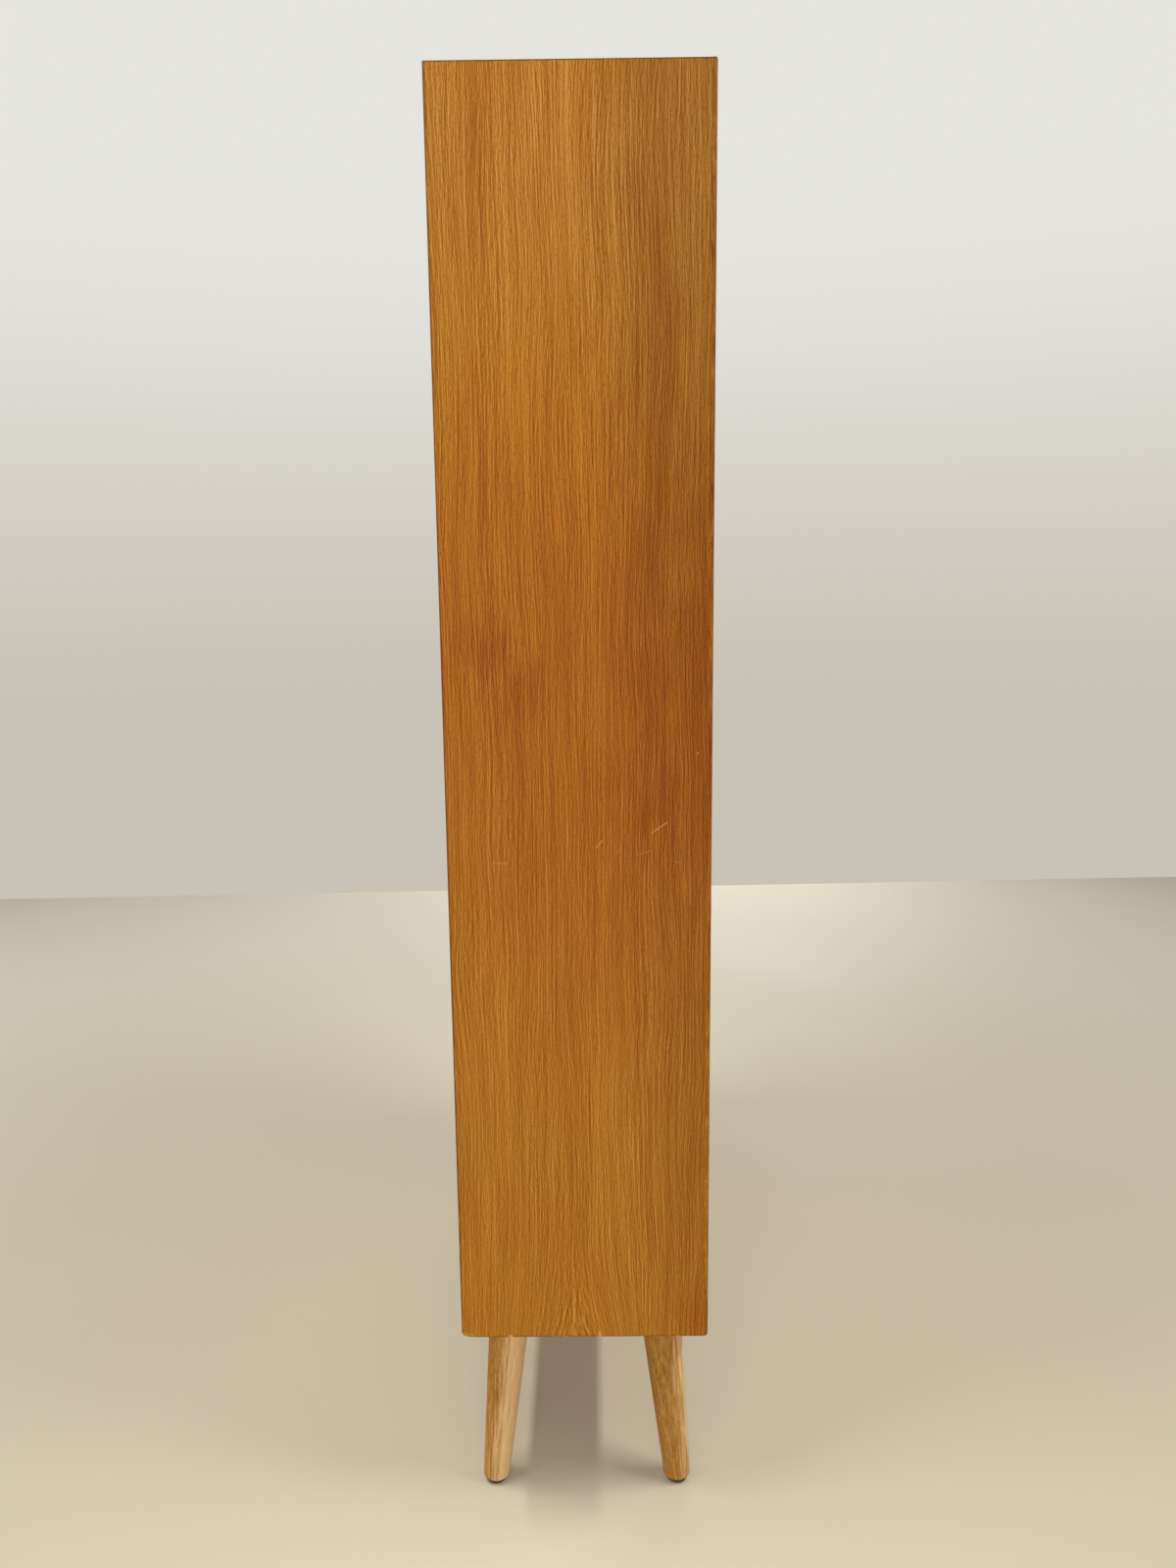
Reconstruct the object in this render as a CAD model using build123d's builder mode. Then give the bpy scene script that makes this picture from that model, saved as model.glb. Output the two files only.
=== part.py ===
from build123d import *
import os
from math import hypot, sqrt

# Pantry cabinet: a tall, shallow oak cabinet with four inset doors on splayed turned legs.
# Millimetres. The origin is on the floor under the middle of the cabinet, +Z up, front towards -Y.

# Carcass
cabinet_width = 900.0
cabinet_depth = 300.0
body_height = 1430.0
leg_height = 222.0
board = 22.0
lipping_depth = 5.0
outer_arris = 2.5
inner_arris = 1.0
lower_opening = 470.0

# Clearances: fixed piece in its seat, pin in its bore, free end of a hole
fit = 0.1
running_fit = 0.05
end_room = 1.0

# Mitre splines
spline_width = 16.0
spline_thickness = 4.0
spline_margin = 20.0

# Divider dowels
dowel_radius = 4.0
dowel_length = 32.0
dowel_in_side = 12.0
dowel_chamfer = 1.0
dowel_margin = 45.0
dowels_per_end = 3

# Back panel
back_thickness = 5.0
back_recess = 3.0
rabbet_width = 10.0
back_gap = 0.5
back_screw_margin = 45.0
back_screws_up = 6
back_screws_across = 4
back_screws_divider = 3

# Doors
door_setback = 22.0
door_thickness = 20.0
door_gap = 2.0
door_lipping = 6.0
door_arris = 1.0

# Butt hinges
hinge_length = 60.0
hinge_inset = 85.0
barrel_radius = 3.0
barrel_gap = 0.2
barrel_room = 0.3
hinge_pin_radius = 1.5
hinge_pin_head = 1.5
hinge_pin_head_radius = 2.4
knuckle_gap = 0.2
leaf_thickness = 1.5
leaf_width = 16.0
leaf_gap = 1.0
hinge_screw_pitch = 20.0
hinge_screws_per_leaf = 3

# Knobs
knob_radius = 13.0
knob_projection = 19.0
knob_foot_radius = 7.0
knob_foot_height = 4.0
knob_rim_height = 12.5
knob_rim = 2.7
knob_bore = 12.0
knob_from_edge = 40.0
upper_knob_height = 300.0
lower_knob_drop = 120.0
knob_screw_radius = 2.0
knob_screw_head_radius = 4.0
knob_screw_head = 2.4

# Magnetic catches
catch_from_centre = 60.0
catch_width = 32.0
catch_height = 18.0
catch_depth = 15.0
catch_ear = 10.0
catch_ear_thickness = 4.0
catch_centre_drop = 10.0
catch_gap = 0.3
pole_width = 26.0
pole_thickness = 2.0
pole_depth = 10.0
pole_stand_out = 0.6
magnet_thickness = 5.0
magnet_sink = 0.4
keeper_width = 36.0
keeper_height = 12.0
keeper_thickness = 1.5
keeper_screw_pitch = 22.0

# Shelves and shelf pins
shelf_thickness = 20.0
shelf_front_room = 8.0
shelf_side_gap = 1.0
shelf_rear_gap = 0.5
shelf_arris = 1.5
upper_shelves = 3
lower_shelves = 1
pin_radius = 2.5
pin_depth = 10.0
pin_flange_radius = 4.0
pin_flange = 1.5
pin_reach = 10.0
pin_spoon_width = 7.0
pin_spoon_thickness = 3.0
pin_spoon_round = 2.0
pin_inset = 40.0
pin_row_pitch = 32.0
pin_rows_each_way = 2

# Legs
leg_inset = 55.0
leg_splay = 21.0
leg_top_radius = 25.5
leg_foot_radius = 16.5
leg_foot_round = 4.5
leg_top_arris = 0.8
leg_trim = 10.0
glide_radius = 12.5
glide_height = 4.5
glide_round = 0.6
plate_size = 74.0
plate_thickness = 2.5
plate_corner = 8.0
plate_screw_pitch = 56.0
seat_margin = 1.0
boss_radius = 22.0
bolt_radius = 4.0
bolt_in_leg = 36.0
bolt_cover = 1.0
bolt_chamfer = 0.8

# Countersunk wood screws, gathered as length, shank radius and head radius
hinge_screw_length = 14.0
hinge_screw_shank = 1.5
hinge_screw_head = 2.9
back_screw_length = 16.0
back_screw_shank = 1.75
back_screw_head = 3.4
catch_screw_length = 14.0
catch_screw_shank = 1.5
catch_screw_head = 2.9
plate_screw_length = 16.0
plate_screw_shank = 2.0
plate_screw_head = 4.0
slot_width = 0.7
slot_depth = 0.9
sink_angle = 90.0
hinge_screw = (hinge_screw_length, hinge_screw_shank, hinge_screw_head)
back_screw = (back_screw_length, back_screw_shank, back_screw_head)
catch_screw = (catch_screw_length, catch_screw_shank, catch_screw_head)
plate_screw = (plate_screw_length, plate_screw_shank, plate_screw_head)

# Levels and faces worked out from the sizes above
half_width = cabinet_width / 2
inner_x = half_width - board
front_y = -cabinet_depth / 2
rear_y = cabinet_depth / 2
core_front_y = front_y + lipping_depth
back_rear_y = rear_y - back_recess
back_front_y = back_rear_y - back_thickness
body_bottom = leg_height
body_top = body_bottom + body_height
floor_z = body_bottom + board
ceiling_z = body_top - board
divider_bottom = floor_z + lower_opening
divider_top = divider_bottom + board
divider_middle = (divider_bottom + divider_top) / 2
door_front_y = front_y + door_setback
door_back_y = door_front_y + door_thickness
hinge_axis_x = inner_x - door_gap / 2
hinge_axis_y = door_front_y - barrel_radius - barrel_gap
leaf_end_y = door_front_y + leaf_width
frame_leaf_face = hinge_axis_x + leaf_gap / 2
frame_leaf_seat = frame_leaf_face + leaf_thickness
door_leaf_face = hinge_axis_x - leaf_gap / 2
door_leaf_seat = door_leaf_face - leaf_thickness
keeper_face_y = door_back_y + keeper_thickness
pole_front_y = keeper_face_y + catch_gap
catch_front_y = pole_front_y + pole_stand_out
shelf_front_y = door_back_y + shelf_front_room
shelf_rear_y = back_front_y - shelf_rear_gap
pin_front_y = shelf_front_y + pin_inset
pin_rear_y = shelf_rear_y - pin_inset

# Where the repeated pieces go
sides = {"left": -1, "right": 1}
ends = {"front": -1, "rear": 1}
door_rows = {
    "upper": (divider_top + door_gap, ceiling_z - door_gap),
    "lower": (floor_z + door_gap, divider_bottom - door_gap),
}
catch_levels = {"upper": ceiling_z, "lower": divider_bottom}
on_centre = (Align.CENTER, Align.CENTER, Align.CENTER)
from_base = (Align.CENTER, Align.CENTER, Align.MIN)
to_depth = (Align.CENTER, Align.CENTER, Align.MAX)


def spread(low, high, count):
    """Evenly spaced positions from low to high."""
    return [low + (high - low) * index / (count - 1) for index in range(count)]


def shelf_levels(low, high, count):
    """Undersides of shelves that share an opening into equal bays."""
    bay = (high - low - count * shelf_thickness) / (count + 1)
    return [low + bay + index * (bay + shelf_thickness) for index in range(count)]


def hinge_heights(low, high):
    """Middle of each hinge on a door that reaches from low to high."""
    return [low + hinge_inset, high - hinge_inset]


shelf_bottoms = shelf_levels(floor_z, divider_bottom, lower_shelves)
shelf_bottoms += shelf_levels(divider_top, ceiling_z, upper_shelves)
shelf_names = ["lower_shelf", "upper_shelf_low", "upper_shelf_middle", "upper_shelf_high"]
all_hinge_heights = [z for low, high in door_rows.values() for z in hinge_heights(low, high)]


def write(piece, node):
    """Label a finished piece and save it under its node name."""
    piece.label = node
    export_step(piece, f"parts/{node}.step")


def block(corner, opposite, mode=Mode.ADD):
    """Box between two opposite corners, in the part being built."""
    low = tuple(min(pair) for pair in zip(corner, opposite))
    size = [abs(a - b) for a, b in zip(corner, opposite)]
    with Locations(low):
        Box(*size, align=(Align.MIN, Align.MIN, Align.MIN), mode=mode)


def prism(outline, front, rear):
    """Board with an outline in x and z, reaching from a front to a rear y."""
    with BuildSketch(Plane.XZ.offset(-rear)) as profile:
        with BuildLine():
            Polyline(*outline, close=True)
        make_face()
    extrude(profile.sketch, amount=rear - front)


def mitred_frame(left, right, bottom, top, width):
    """Outlines of four mitred strips; the first two corners of each are its outer edge."""
    inner_left, inner_right = left + width, right - width
    inner_bottom, inner_top = bottom + width, top - width
    return {
        "left": [(left, bottom), (left, top), (inner_left, inner_top), (inner_left, inner_bottom)],
        "right": [(right, bottom), (right, top), (inner_right, inner_top), (inner_right, inner_bottom)],
        "top": [(left, top), (right, top), (inner_right, inner_top), (inner_left, inner_top)],
        "bottom": [(left, bottom), (right, bottom), (inner_right, inner_bottom), (inner_left, inner_bottom)],
    }


def edge_at(piece, start, finish, y):
    """Edge of a part that runs between two x, z points at one y."""
    middle = Vector((start[0] + finish[0]) / 2, y, (start[1] + finish[1]) / 2)
    return piece.edges().sort_by_distance(middle)[0]


# Screws and their holes

def wood_screw(size):
    """Countersunk slotted screw with its head at the origin, pointing along -Z."""
    length, shank, head = size
    with BuildPart() as screw:
        with BuildSketch(Plane.XZ):
            with BuildLine():
                Polyline(
                    (0, 0), (head, 0), (shank, shank - head),
                    (shank, 2 * shank - length), (0, -length), close=True,
                )
            make_face()
        revolve(axis=Axis.Z)
        Box(3 * head, slot_width, slot_depth, align=to_depth, mode=Mode.SUBTRACT)
    return screw.part


def screw_group(places, size):
    """One node holding the same screw at every place."""
    screw = wood_screw(size)
    with BuildPart() as group:
        with Locations(*places):
            add(screw)
    return group.part


def pilot_holes(places, size):
    """Blind holes for screws, in the part being built."""
    length, shank, head = size
    with Locations(*places):
        Cylinder(shank + fit, length + end_room, align=to_depth, mode=Mode.SUBTRACT)


def sunk_holes(places, size, thickness):
    """Countersunk through holes for screws, in the part being built."""
    length, shank, head = size
    with Locations(*places):
        CounterSinkHole(shank + fit, head + fit, thickness + end_room, sink_angle)


def hinge_screw_places(side, heights, face_x, facing):
    """Screw heads of hinge leaves; facing is the way the heads look along x."""
    half = (hinge_screws_per_leaf - 1) * hinge_screw_pitch / 2
    y = door_front_y + leaf_width / 2
    places = []
    for height in heights:
        for z in spread(height - half, height + half, hinge_screws_per_leaf):
            places.append(Plane(origin=(side * face_x, y, z), x_dir=(0, 0, 1), z_dir=(facing, 0, 0)))
    return places


def back_screw_places():
    """Screw heads around the back panel and across the divider."""
    edge_x = inner_x + rabbet_width / 2
    points = []
    for z in spread(floor_z + back_screw_margin, ceiling_z - back_screw_margin, back_screws_up):
        points += [(-edge_x, z), (edge_x, z)]
    for x in spread(back_screw_margin - inner_x, inner_x - back_screw_margin, back_screws_across):
        points += [(x, floor_z - rabbet_width / 2), (x, ceiling_z + rabbet_width / 2)]
    for x in spread(-inner_x / 2, inner_x / 2, back_screws_divider):
        points.append((x, divider_middle))
    return [Plane(origin=(x, back_rear_y, z), x_dir=(1, 0, 0), z_dir=(0, 1, 0)) for x, z in points]


def catch_screw_places(row):
    """Screw heads under the two ears of each catch in one row of doors."""
    head_z = catch_levels[row] - catch_ear_thickness
    reach = (catch_width + catch_ear) / 2
    places = []
    for side in sides.values():
        for shift in (-reach, reach):
            x = side * catch_from_centre + shift
            y = catch_front_y + catch_depth / 2
            places.append(Plane(origin=(x, y, head_z), x_dir=(1, 0, 0), z_dir=(0, 0, -1)))
    return places


# Legs: each axis leans out the same way in x and y

leg_slope = leg_splay / leg_height
seat_drop = plate_thickness + seat_margin + leg_top_radius * leg_slope * sqrt(2)
lean = hypot(1, leg_slope * sqrt(2))
leg_length = (leg_height - seat_drop - glide_height) * lean
bolt_in_plate = seat_drop - bolt_cover


def leg_axis_point(side, end, drop):
    """Point on a leg's axis, a drop below the underside of the body."""
    x = side * (half_width - leg_inset + leg_slope * drop)
    y = end * (cabinet_depth / 2 - leg_inset + leg_slope * drop)
    return Vector(x, y, leg_height - drop)


def leg_seat(side, end):
    """Plane on top of a leg, looking up along its axis."""
    axis = leg_axis_point(side, end, 0) - leg_axis_point(side, end, leg_height)
    return Plane(origin=leg_axis_point(side, end, seat_drop), z_dir=axis)


def leg_plate_screw_places(side, end):
    """Screw heads at the corners of one leg plate."""
    centre = leg_axis_point(side, end, 0)
    half = plate_screw_pitch / 2
    head_z = leg_height - plate_thickness
    places = []
    for shift_x in (-half, half):
        for shift_y in (-half, half):
            origin = (centre.X + shift_x, centre.Y + shift_y, head_z)
            places.append(Plane(origin=origin, x_dir=(1, 0, 0), z_dir=(0, 0, -1)))
    return places


leg_spots = [(side, end) for side in sides.values() for end in ends.values()]
all_plate_screw_places = [place for spot in leg_spots for place in leg_plate_screw_places(*spot)]


# Carcass boards

def mitre_planes():
    """Middle of each mitre joint, x across the joint and z along the cabinet's depth."""
    planes = []
    middle_x = half_width - board / 2
    for side in sides.values():
        for level, rise in ((body_bottom + board / 2, 1), (body_top - board / 2, -1)):
            planes.append(Plane(origin=(side * middle_x, 0, level), x_dir=(1, 0, side * rise), z_dir=(0, 1, 0)))
    return planes


def cut_spline_grooves():
    """Grooves for the loose splines, in the board being built."""
    with Locations(*mitre_planes()):
        Box(
            spline_width + end_room, spline_thickness, cabinet_depth - 2 * spline_margin + end_room,
            align=on_centre, mode=Mode.SUBTRACT,
        )


def cut_back_rabbet():
    """Rabbet for the back panel, in the board being built."""
    reach_x = inner_x + rabbet_width
    low = (-reach_x, back_front_y, floor_z - rabbet_width)
    high = (reach_x, rear_y, ceiling_z + rabbet_width)
    block(low, high, Mode.SUBTRACT)


def dowel_places(side):
    """Joint face of each dowel at one end of the divider, looking in from the side panel."""
    rows = spread(core_front_y + dowel_margin, back_front_y - dowel_margin, dowels_per_end)
    return [Plane(origin=(side * inner_x, y, divider_middle), z_dir=(-side, 0, 0)) for y in rows]


def pin_places(side, rows_each_way):
    """Shelf-pin positions on one side panel, with spare rows above and below each shelf."""
    turn = 0 if side > 0 else 180
    places = []
    for bottom in shelf_bottoms:
        for row in range(-rows_each_way, rows_each_way + 1):
            for y in (pin_front_y, pin_rear_y):
                z = bottom - pin_flange_radius + row * pin_row_pitch
                places.append(Location((side * inner_x, y, z), (0, 0, turn)))
    return places


def cut_pin_holes(side):
    """Shelf-pin holes, in the side panel being built."""
    for place in pin_places(side, pin_rows_each_way):
        x, y, z = place.position
        mouth = Plane(origin=(x, y, z), z_dir=(-side, 0, 0))
        with Locations(mouth):
            Cylinder(pin_radius + fit, pin_depth + end_room, align=to_depth, mode=Mode.SUBTRACT)


def cut_hinge_mortises(side):
    """Recess for each frame leaf and groove for its barrel, in the side panel being built."""
    half = hinge_length / 2
    for height in all_hinge_heights:
        block(
            (side * inner_x, hinge_axis_y, height - half - fit),
            (side * frame_leaf_seat, leaf_end_y + fit, height + half + fit),
            Mode.SUBTRACT,
        )
        with Locations((side * hinge_axis_x, hinge_axis_y, height)):
            Cylinder(
                barrel_radius + barrel_room, hinge_length + 2 * (hinge_pin_head + end_room),
                align=on_centre, mode=Mode.SUBTRACT,
            )


carcass = mitred_frame(-half_width, half_width, body_bottom, body_top, board)


def make_side_panel(name):
    """One veneered side with all its joints and borings."""
    side = sides[name]
    with BuildPart() as panel:
        prism(carcass[name], core_front_y, rear_y)
        cut_back_rabbet()
        cut_spline_grooves()
        with Locations(*dowel_places(side)):
            Cylinder(dowel_radius + fit, dowel_in_side, align=to_depth, mode=Mode.SUBTRACT)
        cut_pin_holes(side)
        cut_hinge_mortises(side)
        pilot_holes(hinge_screw_places(side, all_hinge_heights, frame_leaf_face, -side), hinge_screw)
        pilot_holes(back_screw_places(), back_screw)
    write(panel.part, f"{name}_side_panel")


def make_top_panel():
    """Veneered top, mitred to the sides."""
    with BuildPart() as panel:
        prism(carcass["top"], core_front_y, rear_y)
        cut_back_rabbet()
        cut_spline_grooves()
        pilot_holes(catch_screw_places("upper"), catch_screw)
        pilot_holes(back_screw_places(), back_screw)
    write(panel.part, "top_panel")


def make_bottom_panel():
    """Veneered bottom, mitred to the sides, with the leg plates screwed under it."""
    with BuildPart() as panel:
        prism(carcass["bottom"], core_front_y, rear_y)
        cut_back_rabbet()
        cut_spline_grooves()
        pilot_holes(all_plate_screw_places, plate_screw)
        pilot_holes(back_screw_places(), back_screw)
    write(panel.part, "bottom_panel")


def make_divider_panel():
    """Fixed shelf between the upper and lower doors."""
    with BuildPart() as panel:
        block((-inner_x, core_front_y, divider_bottom), (inner_x, back_front_y, divider_top))
        for side in sides.values():
            with Locations(*dowel_places(side)):
                depth = dowel_length - dowel_in_side + end_room
                Cylinder(dowel_radius + fit, depth, align=from_base, mode=Mode.SUBTRACT)
        pilot_holes(catch_screw_places("lower"), catch_screw)
        pilot_holes(back_screw_places(), back_screw)
    write(panel.part, "divider_panel")


def make_carcass_lipping():
    """Solid strips on the front edges of the five carcass boards, outer arrises rounded."""
    strips = []
    for outline in carcass.values():
        with BuildPart() as strip:
            prism(outline, front_y, core_front_y)
            fillet(edge_at(strip, outline[0], outline[1], front_y), outer_arris)
            fillet(edge_at(strip, outline[2], outline[3], front_y), inner_arris)
        strips.append(strip.part)
    with BuildPart() as divider_strip:
        block((-inner_x, front_y, divider_bottom), (inner_x, core_front_y, divider_top))
        front_edges = divider_strip.edges().filter_by(Axis.X).group_by(Axis.Y)[0]
        fillet(front_edges, inner_arris)
    strips.append(divider_strip.part)
    write(Compound([strip.solid() for strip in strips]), "carcass_lipping")


def make_mitre_splines():
    """Loose tongues glued across the four corner mitres."""
    with BuildPart() as splines:
        with Locations(*mitre_planes()):
            Box(spline_width, spline_thickness, cabinet_depth - 2 * spline_margin)
    write(splines.part, "mitre_splines")


def make_divider_dowels():
    """Dowels that carry the divider in the sides."""
    with BuildPart() as dowel:
        with Locations((0, 0, -dowel_in_side)):
            Cylinder(dowel_radius, dowel_length, align=from_base)
        chamfer(dowel.edges().filter_by(GeomType.CIRCLE), dowel_chamfer)
    with BuildPart() as dowels:
        for side in sides.values():
            with Locations(*dowel_places(side)):
                add(dowel.part)
    write(dowels.part, "divider_dowels")


def make_back_panel():
    """Thin back in its rabbet, drilled for its screws."""
    reach_x = inner_x + rabbet_width - back_gap
    low_z = floor_z - rabbet_width + back_gap
    high_z = ceiling_z + rabbet_width - back_gap
    with BuildPart() as panel:
        block((-reach_x, back_front_y, low_z), (reach_x, back_rear_y, high_z))
        sunk_holes(back_screw_places(), back_screw, back_thickness)
    write(panel.part, "back_panel")
    write(screw_group(back_screw_places(), back_screw), "back_panel_screws")


# Shelves

def make_shelves():
    """Loose shelves with softly rounded front edges."""
    half = inner_x - shelf_side_gap
    for node, bottom in zip(shelf_names, shelf_bottoms):
        with BuildPart() as shelf:
            block((-half, shelf_front_y, bottom), (half, shelf_rear_y, bottom + shelf_thickness))
            fillet(shelf.edges().filter_by(Axis.X).group_by(Axis.Y)[0], shelf_arris)
        write(shelf.part, node)


def make_shelf_pins():
    """Brass pins with a flat spoon under the shelf, four to a shelf."""
    with BuildPart() as pin:
        with BuildSketch(Plane.YZ):
            Circle(pin_radius)
        extrude(amount=pin_depth)
        with BuildSketch(Plane.YZ):
            Circle(pin_flange_radius)
        extrude(amount=-pin_flange)
        block(
            (-pin_reach, -pin_spoon_width / 2, pin_flange_radius - pin_spoon_thickness),
            (-pin_flange, pin_spoon_width / 2, pin_flange_radius),
        )
        fillet(pin.edges().filter_by(Axis.Z).group_by(Axis.X)[0], pin_spoon_round)
    with BuildPart() as pins:
        for side in sides.values():
            with Locations(*pin_places(side, 0)):
                add(pin.part)
    write(pins.part, "shelf_pins")


# Hinges

def hinge_leaf(side, height, face_x, seat_x, knuckles):
    """One leaf with its knuckles and pin bore, in the part being built."""
    half = hinge_length / 2
    block((side * face_x, door_front_y, height - half), (side * seat_x, leaf_end_y, height + half))
    for low, high in knuckles:
        block((side * face_x, hinge_axis_y, height + low), (side * seat_x, door_front_y, height + high))
        with Locations((side * hinge_axis_x, hinge_axis_y, height + low)):
            Cylinder(barrel_radius, high - low, align=from_base)
    with Locations((side * hinge_axis_x, hinge_axis_y, height)):
        Cylinder(hinge_pin_radius + running_fit, hinge_length + end_room, align=on_centre, mode=Mode.SUBTRACT)


knuckle = (hinge_length - 2 * knuckle_gap) / 3
frame_knuckles = [
    (-hinge_length / 2, knuckle - hinge_length / 2),
    (hinge_length / 2 - knuckle, hinge_length / 2),
]
door_knuckles = [(-knuckle / 2, knuckle / 2)]


def make_frame_hinge_leaves():
    """Leaves let into the side panels, with their screws and the hinge pins."""
    places = []
    with BuildPart() as leaves:
        for side in sides.values():
            for height in all_hinge_heights:
                hinge_leaf(side, height, frame_leaf_face, frame_leaf_seat, frame_knuckles)
            places += hinge_screw_places(side, all_hinge_heights, frame_leaf_face, -side)
        sunk_holes(places, hinge_screw, leaf_thickness)
    write(leaves.part, "hinge_frame_leaves")
    write(screw_group(places, hinge_screw), "hinge_frame_screws")


def make_hinge_pins():
    """Pins through the knuckles, headed at both ends."""
    half = hinge_length / 2
    with BuildPart() as pin:
        Cylinder(hinge_pin_radius, hinge_length + 2 * fit, align=on_centre)
        with Locations((0, 0, half)):
            Cylinder(hinge_pin_head_radius, hinge_pin_head, align=from_base)
        with Locations((0, 0, -half - fit)):
            Cylinder(hinge_pin_head_radius, hinge_pin_head, align=to_depth)
        outer_edges = pin.edges().filter_by(GeomType.CIRCLE).group_by(Axis.Z)
        fillet(outer_edges[0] + outer_edges[-1], hinge_pin_head / 2)
    spots = [(side * hinge_axis_x, hinge_axis_y, z) for side in sides.values() for z in all_hinge_heights]
    with BuildPart() as pins:
        with Locations(*spots):
            add(pin.part)
    write(pins.part, "hinge_pins")


# Magnetic catches on the carcass

def catch_spots():
    """Middle x and mounting level of every catch."""
    return [(side * catch_from_centre, level) for level in catch_levels.values() for side in sides.values()]


def make_catches():
    """Cases with two ears, each holding a magnet between two steel poles."""
    half = catch_width / 2
    pole_half = pole_width / 2
    stack = magnet_thickness / 2 + pole_thickness
    pocket_rear_y = pole_front_y + pole_depth
    with BuildPart() as housings:
        for x, level in catch_spots():
            centre = level - catch_centre_drop
            rear = catch_front_y + catch_depth
            block((x - half, catch_front_y, level - catch_height), (x + half, rear, level))
            block(
                (x - half - catch_ear, catch_front_y, level - catch_ear_thickness),
                (x + half + catch_ear, rear, level),
            )
            block(
                (x - pole_half, catch_front_y, centre - stack),
                (x + pole_half, pocket_rear_y, centre + stack),
                Mode.SUBTRACT,
            )
        for row in catch_levels:
            sunk_holes(catch_screw_places(row), catch_screw, catch_ear_thickness)
    write(housings.part, "catch_housings")
    with BuildPart() as poles:
        for x, level in catch_spots():
            centre = level - catch_centre_drop
            for inner, outer in ((-magnet_thickness / 2, -stack), (magnet_thickness / 2, stack)):
                block(
                    (x - pole_half, pole_front_y, centre + inner),
                    (x + pole_half, pocket_rear_y, centre + outer),
                )
    write(poles.part, "catch_poles")
    with BuildPart() as magnets:
        for x, level in catch_spots():
            centre = level - catch_centre_drop
            block(
                (x - pole_half, catch_front_y + magnet_sink, centre - magnet_thickness / 2),
                (x + pole_half, pocket_rear_y, centre + magnet_thickness / 2),
            )
    write(magnets.part, "catch_magnets")
    places = [place for row in catch_levels for place in catch_screw_places(row)]
    write(screw_group(places, catch_screw), "catch_screws")


# Doors

def make_knob(place, node):
    """Turned knob with a narrow foot and a domed head, bored for its screw."""
    rim_top = knob_rim_height + knob_rim
    dome_rise = knob_projection - rim_top
    dome_radius = (knob_radius**2 + dome_rise**2) / (2 * dome_rise)
    dome_height = knob_projection - dome_radius + sqrt(dome_radius**2 - (knob_radius / 2) ** 2)
    with BuildPart() as knob:
        with BuildSketch(Plane.XZ):
            with BuildLine():
                Line((0, 0), (knob_foot_radius, 0))
                Line((knob_foot_radius, 0), (knob_foot_radius, knob_foot_height))
                TangentArc((knob_foot_radius, knob_foot_height), (knob_radius, knob_rim_height), tangent=(0, 1))
                Line((knob_radius, knob_rim_height), (knob_radius, rim_top))
                ThreePointArc((knob_radius, rim_top), (knob_radius / 2, dome_height), (0, knob_projection))
                Line((0, knob_projection), (0, 0))
            make_face()
        revolve(axis=Axis.Z)
        Cylinder(knob_screw_radius + fit, knob_bore, align=from_base, mode=Mode.SUBTRACT)
    with BuildPart() as placed:
        with Locations(place):
            add(knob.part)
    write(placed.part, node)


def make_knob_screw(place, node):
    """Screw from inside the door into the knob."""
    with BuildPart() as screw:
        with Locations(place):
            Cylinder(knob_screw_head_radius, knob_screw_head, align=from_base)
            Cylinder(knob_screw_radius, door_thickness + knob_bore - end_room, align=to_depth)
        slot_plane = place.offset(knob_screw_head)
        with Locations(slot_plane):
            Box(3 * knob_screw_head_radius, slot_width, slot_depth, align=to_depth, mode=Mode.SUBTRACT)
    write(screw.part, node)


def make_keeper(x, z, places, node):
    """Steel plate on the back of a door, for the magnet."""
    low = (x - keeper_width / 2, door_back_y, z - keeper_height / 2)
    high = (x + keeper_width / 2, keeper_face_y, z + keeper_height / 2)
    with BuildPart() as keeper:
        block(low, high)
        sunk_holes(places, hinge_screw, keeper_thickness)
    write(keeper.part, node)


def make_door_lipping(outlines, hinge_side, side, heights, places, node):
    """Four mitred strips around a door, the hinge strip recessed for the door leaves."""
    half = hinge_length / 2
    strips = []
    for name, outline in outlines.items():
        with BuildPart() as strip:
            prism(outline, door_front_y, door_back_y)
            fillet(edge_at(strip, outline[0], outline[1], door_front_y), door_arris)
            if name == hinge_side:
                for height in heights:
                    block(
                        (side * hinge_axis_x, door_front_y - fit, height - half - fit),
                        (side * door_leaf_seat, leaf_end_y + fit, height + half + fit),
                        Mode.SUBTRACT,
                    )
                pilot_holes(places, hinge_screw)
        strips.append(strip.part)
    write(Compound([strip.solid() for strip in strips]), node)


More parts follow.
